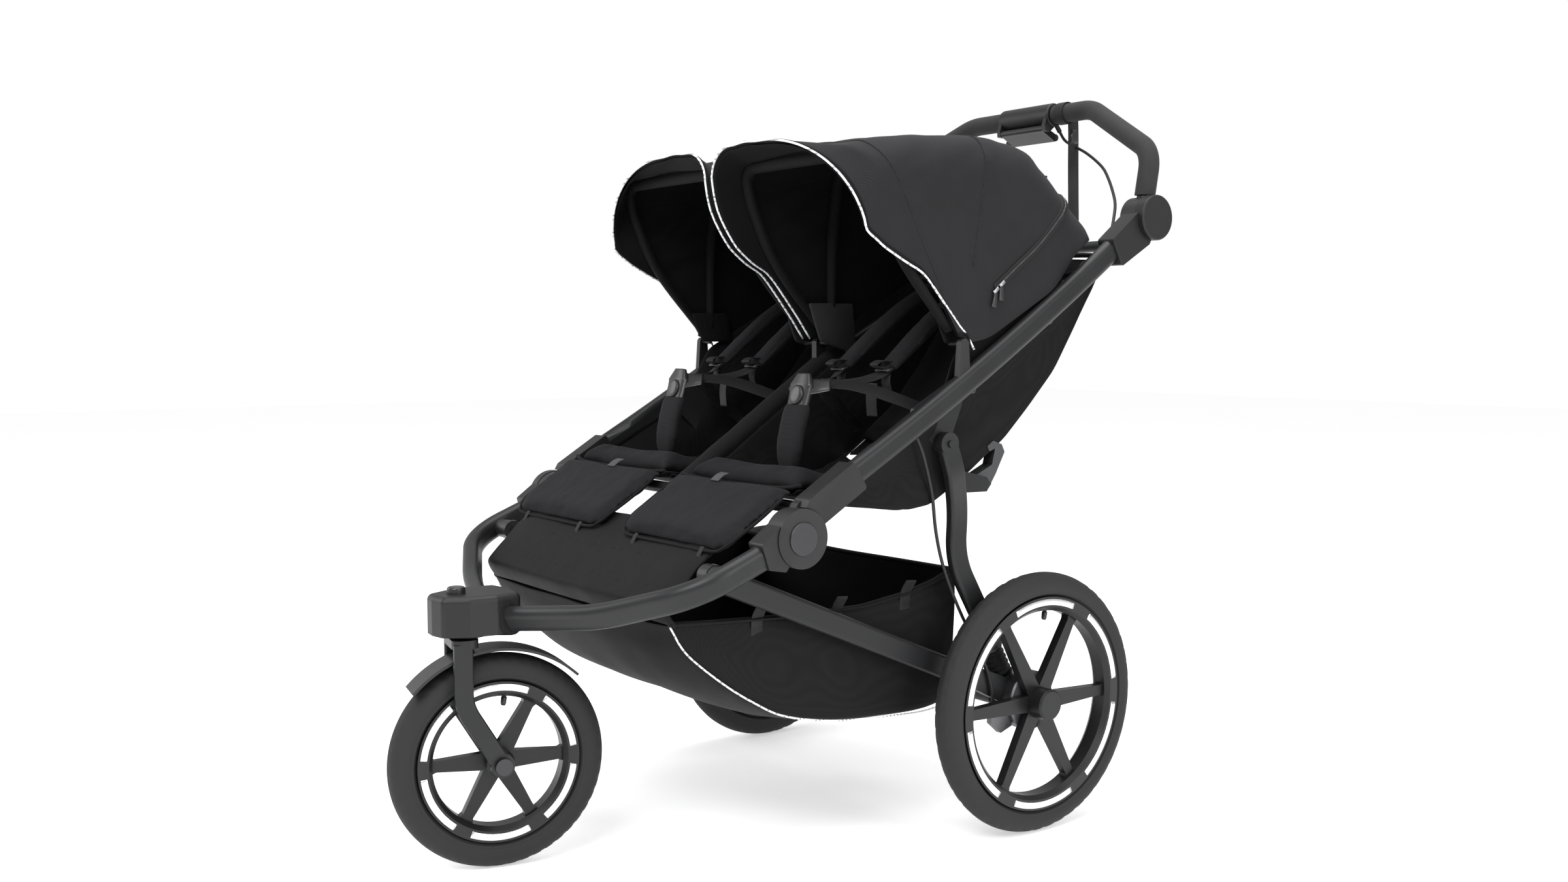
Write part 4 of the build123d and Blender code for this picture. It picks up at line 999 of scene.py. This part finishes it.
calf_at = on_curve([(-427, 553), (-441, 549), (-470, 529), (-505, 507), (-532, 489), (-550, 470)],
                   IN - 1, OUT - 1, 0)
calf = slab("calf_pad_cloth_left", calf_at, 11, 50, 26, 0.15)
for vertex in calf.data.vertices:          # rounded lower corners
    x, y = vertex.co.x * 1000, vertex.co.y * 1000 - AXLE
    side_gap = min(x - (IN - 1), OUT - 1 - x)
    if side_gap < 30 and y < -515:
        drop = (-515 - y) * 0.62 * (1 - side_gap / 30) ** 2
        vertex.co.y += drop / 1000
        vertex.co.z += drop * 0.62 / 1000
inflate(calf, 5.0, 6.0, 3.5, [
    (trace(calf_at, [(0.02, 0.17), (0.5, 0.16), (0.98, 0.17)], 0.010), 4.5, 3.0),
    (trace(calf_at, [(0.07, 0.25), (0.07, 0.86), (0.12, 0.92), (0.5, 0.93), (0.88, 0.92), (0.93, 0.86),
                     (0.93, 0.25)], 0.010), 2.6, 2.6)])
crumple(calf, 1.0, 34, 7.0)
paint(calf, PADDING)
rim_points = [(0.015, 0.2), (0.01, 0.5), (0.02, 0.78), (0.06, 0.93), (0.14, 0.985), (0.5, 0.99),
              (0.86, 0.985), (0.94, 0.93), (0.98, 0.78), (0.99, 0.5), (0.985, 0.2)]
calf_edge = rod("calf_pad_piping_left", trace(calf_at, rim_points, 0.003), 2.4, 2.4, SHELL, n=8)
calf_tab = strap("calf_pad_tab_left", [P(150, -436, 561), P(150, -445, 558), P(150, -455, 551)], 20, 1.6,
                 Vector((0, -0.5, 0.86)), TAB)
loops = [strap(f"calf_loop_{key}_left", [P(x, -546, 474), P(x, -553, 463), P(x, -556, 452), P(x, -553, 444)],
               9, 1.8, Vector((0, -1, 0.2)), STRAP) for key, x in (("a", 84), ("b", 258))]

# ---------------------------------------------------------------- harness
MID = 171.0                      # the middle of the left seat, x


def shoulder(name, x_low, x_high):
    """A padded shoulder sleeve from its lower end up towards the seat back."""
    points = [P(x_low, -191, 709), P(lerp(x_low, x_high, 0.3), -140, 752),
              P(lerp(x_low, x_high, 0.7), -85, 795), P(x_high, -30, 826), P(x_high, 20, 846),
              P(x_high, 62, 856)]
    faces = [Vector((0, -0.62, 0.78))] * 3 + [Vector((0, -0.5, 0.86))] + [Vector((0, -0.3, 0.95))] * 2
    pad = strip(name, points, 46, 14, "strap", faces, per=10,
                grow=lambda t: 0.86 + 0.14 * min(1.0, 6 * min(t, 1 - t)))
    inflate(pad, 4.5, 3.5, 3.0)
    for side in (0.018, -0.018):
        sew(pad, [p + Vector((side, -0.004, 0.005)) for p in points], 2.0, 2.2)
    return paint(pad, KNIT)


def waist(end_x, far):
    """The waist strap on one side, from the seat's side to the buckle."""
    line = [P(far, -92, 604), P(lerp(far, end_x, 0.5), -120, 622), P(end_x, -160, 648),
            P(lerp(end_x, MID, 0.5), -236, 682), P(lerp(MID, end_x, 0.2), -292, 690)]
    faces = [Vector((0, y, z)) for y, z in ((-0.5, 0.86), (-0.6, 0.8), (-0.7, 0.7), (-0.8, 0.6), (-0.8, 0.6))]
    return strap(f"harness_waist_{end_x}", line, 22, 1.6, faces, STRAP)


def shoulder_straps(x):
    """The webbing below one shoulder pad: its run to the buckle, its fold and tail, and the slide."""
    toward = lerp(MID, x, 0.25)
    run = [P(x, -176, 722), P(x, -196, 706), P(lerp(x, toward, 0.35), -226, 694),
           P(lerp(x, toward, 0.75), -276, 688), P(toward, -304, 684)]
    fold = [P(x - 1, -186, 717), P(x - 3, -204, 712), P(x - 4, -216, 716), P(x - 3, -206, 722),
            P(x - 2, -190, 722)]
    tail = [P(x + 2, -196, 702), P(x + 3, -198, 690), P(x + 3, -194, 676)]
    slide = [P(x - 15, -199, 709), P(x, -199.5, 710), P(x + 15, -199, 709)]
    return [strap(f"harness_run_{x}", run, 22, 1.6, Vector((0, -0.8, 0.6)), STRAP),
            strap(f"harness_fold_{x}", fold, 20, 1.6, Vector((0, -0.3, 0.95)), STRAP),
            strap(f"harness_tail_{x}", tail, 18, 1.5, Vector((0.1, -1, 0.1)), STRAP),
            strap(f"harness_slide_{x}", slide, 12, 4.5, Vector((0, -0.3, 0.95)), GLOSS)]


pads = [shoulder("shoulder_pad_a_left", 118, 122), shoulder("shoulder_pad_b_left", 226, 222)]
harness = join("harness_webbing_left",
               shoulder_straps(118) + shoulder_straps(226) + [waist(62, 34), waist(280, 308)])
label = strap("harness_label_left", [P(200, -200, 688), P(201, -203, 664), P(201, -201, 638)], 22, 1.4,
              Vector((0.1, -1, 0)), TAB)
crotch_line = [P(MID, -332, 552), P(MID, -336, 572), P(MID, -333, 602), P(MID, -325, 636), P(MID, -317, 660)]
crotch = strip("crotch_sleeve_left", crotch_line, 58, 17, "strap", Vector((0, -1, 0.12)), per=10,
               grow=lambda t: 0.5 + 0.5 * min(1.0, t * 2.4) ** 0.8 if t < 0.9 else 1.0 - (t - 0.9) * 1.5)
inflate(crotch, 4.5, 3.0, 3.0)
paint(crotch, KNIT)

BUCKLE_FACE = Vector((0, -0.97, 0.24))
buckle_line = [P(MID, -322, 648), P(MID, -317, 664), P(MID, -312, 684), P(MID, -307, 704)]
button_profile = [(-4, 0.01), (-4, 15), (0.2, 15), (1.4, 13.5), (2.0, 9), (2.2, 0.01)]
button = lathe("buckle_button", P(MID, -323.5, 673), BUCKLE_FACE, button_profile, 40, False)
buckle_parts = [strap("buckle_body", buckle_line, 52, 13, BUCKLE_FACE, GLOSS, per=10,
                      grow=lambda t: 0.86 + 0.14 * t if t < 0.7 else 1.0 - (t - 0.7) * 1.5),
                paint(button, GLOSS)]
for sign in (-1, 1):
    prong = [P(MID + sign * 18, -309, 684), P(MID + sign * 32, -302, 686), P(MID + sign * 44, -293, 688)]
    buckle_parts.append(strap(f"buckle_prong_{sign}", prong, 26, 6, Vector((0, -0.85, 0.5)), GLOSS,
                              grow=lambda t: 1.0 - 0.15 * t))
buckle = join("buckle_left", buckle_parts)

# ---------------------------------------------------------------- placing the seat pieces
# how the hanging seat gathers up towards its tubes when the frame folds; nothing here moves it, and the
# pieces given it only get meshes of their own
SEAT_GATHER = ("frame_fold", (0, -0.56, 0.83), (0, (AXLE - 250) / 1000, tube_z(-250) / 1000), 0.35)
both(side_outer, "upper_frame", squash=SEAT_GATHER, cloth=(outer_rows, "stretched", "upper_tube_HAND"))
both(side_inner, "upper_frame", squash=SEAT_GATHER, cloth=(inner_rows, "stretched", "centre_rail"))
both(seat_floor, "upper_frame", ("seat_HAND",), squash=SEAT_GATHER,
     cloth=(floor_rows, "stretched", "seat_side_outer_HAND"))
both(cushion, "upper_frame", squash=SEAT_GATHER)
both(front_roll, "upper_frame")
both(back_pad, "seat_back_HAND", ("seat_back_HAND",))
both(back_panel, "seat_back_HAND", cloth=(panel_rows, "stretched", "seat_back_pad_HAND"))
both(back_pocket, "seat_back_HAND", cloth=(pocket_rows, "hung", "seat_back_panel_HAND"))
for piece in (pocket_hem, top_roll):
    both(piece, "seat_back_HAND")
both(calf, "front_frame", ("calf_pad_HAND",))
for piece in [calf_edge, calf_tab] + loops:
    both(piece, "front_frame")
both(pads[0], "seat_back_HAND", ("shoulder_pads_HAND",))
both(pads[1], "seat_back_HAND")
both(harness, "upper_frame", squash=SEAT_GATHER)
both(label, "upper_frame", squash=SEAT_GATHER)
both(crotch, "upper_frame", squash=SEAT_GATHER)
both(buckle, "upper_frame", ("buckles",))

# ---------------------------------------------------------------- footrest and basket
foot_profile = [(-606, 376), (-613, 384), (-618.5, 394), (-619, 401), (-614, 407), (-602, 418), (-585, 433),
                (-568, 450), (-556, 459), (-542, 468), (-524, 480), (-508, 494)]
foot_rows = []
for i, (y, z) in enumerate(foot_profile):
    row = []
    for j in range(41):
        u = j / 40
        end = max(0.0, 1 - min(u, 1 - u) / 0.09) ** 2
        dip = 4 * math.sin(math.pi * u) ** 2 * (1 if i > 3 else 0.4)
        row.append(P(lerp(-274, 274, u), y + 10 * end * (1 - i / 12), z - dip - 5 * end * (1 - i / 14)))
    foot_rows.append(row)
foot_columns = [curve_points(list(column), 4) for column in zip(*foot_rows)]
foot = sheet("footrest_cloth", [list(row) for row in zip(*foot_columns)], 6.0, BASKET, (0.9, 45, 9.0))
sew(foot, [P(-262, -604, 421), P(0, -604, 418), P(262, -604, 421)], 2.0, 2.2)
sew(foot, [P(-262, -566, 453), P(0, -566, 450), P(262, -566, 453)], 2.4, 2.4)
place(foot, None, "front_frame", "footrest")

# side outlines of the basket, front to rear: its rim, the seam at its sides and the low middle of its floor
rim_side = [(-604, 374), (-560, 372), (-475, 369), (-380, 365), (-279, 366), (-200, 376), (-140, 390),
            (-100, 404)]
seam_side = [(-604, 372), (-579, 332), (-528, 288), (-476, 253), (-421, 225), (-337, 206), (-249, 198),
             (-160, 194), (-118, 204), (-106, 240), (-102, 300), (-99, 404)]
middle_low = [(-604, 368), (-592, 322), (-545, 266), (-462, 222), (-375, 194), (-300, 184), (-220, 182),
              (-150, 190), (-116, 202), (-106, 240), (-102, 300), (-99, 400)]
HALF = 275.0                     # half the basket's width
BASKET_ROWS = 54


def basket_wall(sign, t, seam, rim_z, half):
    """A point of the basket's side cloth, from the rim at t = 0 down to the seam at t = 1."""
    swell = math.sin(math.pi * t)
    billow = 3.5 * swell * min(1.0, (rim_z - seam.z) / 80)
    ripple = 2.2 * noise.noise(Vector((seam.y / 60.0, t * 2.0, 10.0 - 5.0 * sign)))
    return P(sign * (half + billow + ripple * swell), seam.y, rim_z + (seam.z - rim_z) * t)


def basket_row(seam, middle):
    """One row round the basket: down one side, across the floor and up the other side."""
    rim_z = table(rim_side, seam.y)[0]
    half = HALF - table([(-604, 12.0), (-540, 4.0), (-470, 0.0)], seam.y)[0]
    row = [basket_wall(1, j / 8, seam, rim_z, half) for j in range(8)]
    for j in range(25):
        u = j / 24
        x = lerp(half, -half, u)
        belly = 1 - (2 * u - 1) ** 4
        ripple = 3.0 * noise.noise(Vector((seam.y / 70.0, x / 90.0, 1.0))) * belly
        row.append(P(x, lerp(seam.y, middle.y, belly), lerp(seam.z, middle.z, belly) + ripple))
    return row + [basket_wall(-1, 1 - (j + 1) / 8, seam, rim_z, half) for j in range(8)]


seam_dense = curve_points([Vector((0, y, z)) for y, z in seam_side], 10)
middle_dense = curve_points([Vector((0, y, z)) for y, z in middle_low], 10)
picks = [round(i * (len(seam_dense) - 1) / (BASKET_ROWS - 1)) for i in range(BASKET_ROWS)]
basket_rows = [basket_row(seam_dense[k], middle_dense[k]) for k in picks]
basket = sheet("basket_cloth", basket_rows, 1.8, BASKET)
place(basket, None, "front_frame", "basket")


def mirrored(points, sign):
    return [Vector((p.x * sign, p.y, p.z)) for p in points]


trim_parts = []
cord_line = [row[8] + Vector((0.0015, 0, -0.0005)) for row in basket_rows[:46]]
rim_line = [row[0] for row in basket_rows[:44]]
for sign in (1, -1):
    trim_parts.append(rod(f"basket_cord_{sign}", mirrored(cord_line, sign), 1.4, 1.4, PIPE, per=2, n=8))
    rim = mirrored(rim_line, sign)
    trim_parts.append(rod(f"basket_rim_{sign}", rim, 3.2, 7.0, BASKET, up=SIDEWAYS, per=2))
    for y in (-470, -330, -200):
        top_z = table(rim_side, y)[0]
        hanger = [P(sign * 276, y, top_z - 26), P(sign * 279, y, top_z + 2), P(sign * 290, y + 2, top_z + 22)]
        trim_parts.append(strap(f"basket_strap_{sign}_{-y}", hanger, 20, 1.8, SIDEWAYS * sign, STRAP))
rear_line = [P(272, -101, 404), P(140, -98, 402), P(0, -97, 400), P(-140, -98, 402), P(-272, -101, 404)]
trim_parts.append(rod("basket_rear_rim", rear_line, 3.4, 7.0, BASKET, up=Vector((0, 1, 0))))
basket_trim = join("basket_trim", trim_parts)
place(basket_trim, None, "front_frame")
for item in (basket, basket_trim):
    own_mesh(item)
declare(basket_rows)

# ---------------------------------------------------------------- wheels
TYRE_HALF = 21.0                 # half the tyre's width
RIM_LIP = 5.0
FRONT_TURN = -13.0               # the front wheel is steered a little to one side, in degrees
TREAD_STEPS = 300
UP = Vector((0, 0, 1))


def tread(lane, i):
    """Height of the tread across the tyre (lane -1 to 1) at step i round it, in millimetres."""
    block = 1.0 if math.sin(i * 2 * math.pi / 6 + abs(lane) * 5.0) > -0.35 else 0.0
    rib = 1.0 if abs(lane) < 0.16 else 0.0
    groove = 1.0 if 0.22 < abs(lane) < 0.32 else 0.0
    return 0.9 * max(block, rib) * (1 - groove) - 1.0


def dress_wheel(name, tyre_node, rim_node, body, turn=0.0):
    """The treaded tyre, the beads at its rim, bright arcs on the rim well that are painted reflections of
    light, and the valve of one wheel.
    """
    low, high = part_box(tyre_node)
    centre, radius = (low + high) / 2, (high.z - low.z) / 2 * 1000
    axis = Vector((math.cos(math.radians(turn)), math.sin(math.radians(turn)), 0))
    fore = axis.cross(UP)
    rim_low, rim_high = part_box(rim_node)
    inner = (rim_high.z - rim_low.z) / 2 * 1000 - RIM_LIP
    tall = (radius - inner) / 2
    outline = []
    for k in range(29):
        t = math.radians(-118 + 236 * k / 28)
        outline.append((TYRE_HALF * math.sin(t), inner + tall + tall * math.cos(t), abs(t) < 1.0))
    outline += [(9, inner + 2, False), (-9, inner + 2, False)]
    rows = []
    for i in range(TREAD_STEPS + 1):
        a = 2 * math.pi * (i % TREAD_STEPS) / TREAD_STEPS
        spoke = UP * math.cos(a) + fore * math.sin(a)
        row = []
        for w, r, treaded in outline:
            if treaded:
                r += tread(w / TYRE_HALF, i)
            row.append(centre + axis * (w / 1000) + spoke * (r / 1000))
        rows.append(row)
    place(outward(grid(name + "_tyre_rubber", rows, ring=True), weld=1e-6), TYRE, body, tyre_node)

    bead_profile = [(18.6, inner + 9), (19.4, inner + 11), (19.6, inner + 13), (19.0, inner + 15),
                    (17.5, inner + 12)]
    beads = [paint(lathe(f"{name}_bead_{sign}", centre, axis * sign, bead_profile), TYRE) for sign in (-1, 1)]
    place(join(name + "_bead", beads), None, body)

    def spoke_at(degrees):
        return UP * math.sin(math.radians(degrees)) + fore * math.cos(math.radians(degrees))

    extras = []
    # bright strips on both faces of the rim well between the spokes: painted reflections of light
    for k in range(6):
        line = [centre + spoke_at(60 * k + 7 + 46 * s / 12) * ((inner - 3.0) / 1000) for s in range(13)]
        for side in (-1, 1):
            face = [p + axis * (side * 0.0188) for p in line]
            extras.append(strap(f"{name}_arc_{k}_{side}", face, 9.5, 0.8, axis * side, PAINTED_REFLECTION, per=2))
    valve_profile = [(0, 0.01), (0, 4.2), (6, 3.6), (14, 3.1), (15, 4.4), (24, 4.1), (27, 3.0), (27, 0.01)]
    root = centre + spoke_at(97) * ((inner - 6) / 1000)
    extras.append(paint(lathe(f"{name}_valve", root, -spoke_at(97), valve_profile, 20, False), GLOSS))
    place(join(name + "_painted_reflections_and_valve", extras), None, body)


for hand in ("left", "right"):
    dress_wheel(f"rear_{hand}", f"rear_tyre_{hand}", f"rear_rim_{hand}", f"rear_wheel_{hand}")
dress_wheel("front", "front_tyre", "front_rim", "front_wheel", FRONT_TURN)
cap_profile = [(-6, 0.01), (-6, 22), (2, 22), (6, 20.5), (8.5, 16), (9.5, 12), (10.5, 11), (13, 10), (14, 7),
               (14, 0.01)]
for hand, sign in (("left", 1), ("right", -1)):
    cap = lathe(f"rear_hub_cap_{hand}", P(sign * 372, 0, 200), SIDEWAYS * sign, cap_profile, 60, False)
    place(cap, GLOSS, f"rear_wheel_{hand}")

# ---------------------------------------------------------------- handle strap, snaps, rail cover
loop_line = [P(84, 350.5, 1158), P(84, 353, 1120), P(85, 352.5, 1060), P(86, 353, 1000), P(86, 354, 965),
             P(86, 357, 948), P(86, 360.5, 956), P(85.5, 360, 1000), P(85, 359, 1060), P(84, 359, 1120),
             P(84, 357, 1150)]
grip_middle = P(84, 333, 1150)
circle = [2 * math.pi * k / 32 for k in range(33)]
band_points = [P(84, 333 + 18.6 * math.cos(t), 1150 + 18.6 * math.sin(t)) for t in circle]
band_faces = [(p - grip_middle).normalized() for p in band_points]
wrist = join("wrist_strap_webbing", [
    strap("wrist_loop", loop_line, 20, 1.7, SIDEWAYS, STRAP),
    strap("wrist_ring", band_points, 20, 1.7, band_faces, STRAP, per=2),
    strap("wrist_keeper", [P(84, 349, 1112), P(84, 356, 1111), P(84, 363, 1112)], 9, 26, UP, GLOSS)])
place(wrist, None, "handlebar", "wrist_strap")

snap_profile = [(-2, 0.01), (-2, 6.5), (0.5, 7), (2, 6), (2.6, 3.5), (2.0, 2.2), (2.0, 0.01)]
snaps = []
for y in (-120, 40):
    where = P(333.5, y, tube_z(y) - 24)
    snaps.append(paint(lathe(f"snap_{-y}", where, Vector((1, 0, 0.1)), snap_profile, 32, False), GLOSS))
both(join("seat_snaps_left", snaps), "upper_frame")

rail_line = [P(0, y, rail_z(y)) for y in range(-418, -100, 24)]
rail_cover = strip("centre_rail_cover", rail_line, 17, 15, "oval", Vector((0, -0.56, 0.83)), per=4, n=20)
crumple(rail_cover, 1.0, 40, 13.0)
place(rail_cover, SHELL, "upper_frame")

# ---------------------------------------------------------------- room, light and camera
floor = grid("floor", [[Vector((x, y, 0.0)) for x in (-14, 14)] for y in (-14, 14)])
backdrop, tree, bsdf = new_material("backdrop_paint")
shade(tree, bsdf, (0.9, 0.9, 0.9), 0.985, 1.0, mottle(tree, 0.8))
dial(bsdf, Roughness=0.85, Specular_IOR_Level=0.0, Emission_Color=(1, 1, 1, 1), Emission_Strength=0.42)
paint(floor, backdrop)

world = bpy.data.worlds.new("studio")
bpy.context.scene.world = world
world.use_nodes = True
sky = world.node_tree
glow = sky.nodes["Background"]
glow.inputs["Color"].default_value = (1.0, 1.0, 1.0, 1)
rays = sky.nodes.new("ShaderNodeLightPath")
level = dial(sky.nodes.new("ShaderNodeMapRange"), To_Min=0.62, To_Max=1.0)
sky.links.new(rays.outputs["Is Camera Ray"], level.inputs["Value"])
sky.links.new(level.outputs["Result"], glow.inputs["Strength"])


def softbox(name, where, toward, width, height, watts):
    lamp = bpy.data.lights.new(name, "AREA")
    lamp.shape = "RECTANGLE"
    lamp.size, lamp.size_y, lamp.energy = width, height, watts
    obj = bpy.data.objects.new(name, lamp)
    bpy.context.scene.collection.objects.link(obj)
    obj.location = where
    obj.rotation_euler = (Vector(toward) - Vector(where)).to_track_quat("-Z", "Y").to_euler()


softbox("key", (1.4, -2.6, 3.2), (0, 0, 0.6), 2.4, 1.8, 120)
softbox("side", (3.6, 0.6, 1.6), (0, 0, 0.6), 1.2, 2.4, 60)
softbox("fill", (-2.6, -2.2, 1.8), (0, 0, 0.6), 1.6, 2.2, 40)
softbox("top", (0.2, 0.3, 3.6), (0, 0, 0.8), 2.6, 2.6, 90)

camera = bpy.data.cameras.new("camera")
camera.sensor_width, camera.lens = 36.0, 34.86       # millimetres
camera.clip_start, camera.clip_end = 0.05, 60
camera.dof.use_dof = False
eye = bpy.data.objects.new("camera", camera)
bpy.context.scene.collection.objects.link(eye)
right = Vector((0.59247529, 0.80558862, 0.0))
up = Vector((-0.05708802, 0.04198575, 0.99748592))
back = Vector((0.80356331, -0.59098576, 0.07086497))
turn = Matrix((right, up, back)).transposed().to_4x4()
eye.matrix_world = Matrix.Translation(P(1974.93, -1671.67, 763.77)) @ turn
bpy.context.scene.camera = eye
bpy.context.scene.view_settings.view_transform = "Standard"
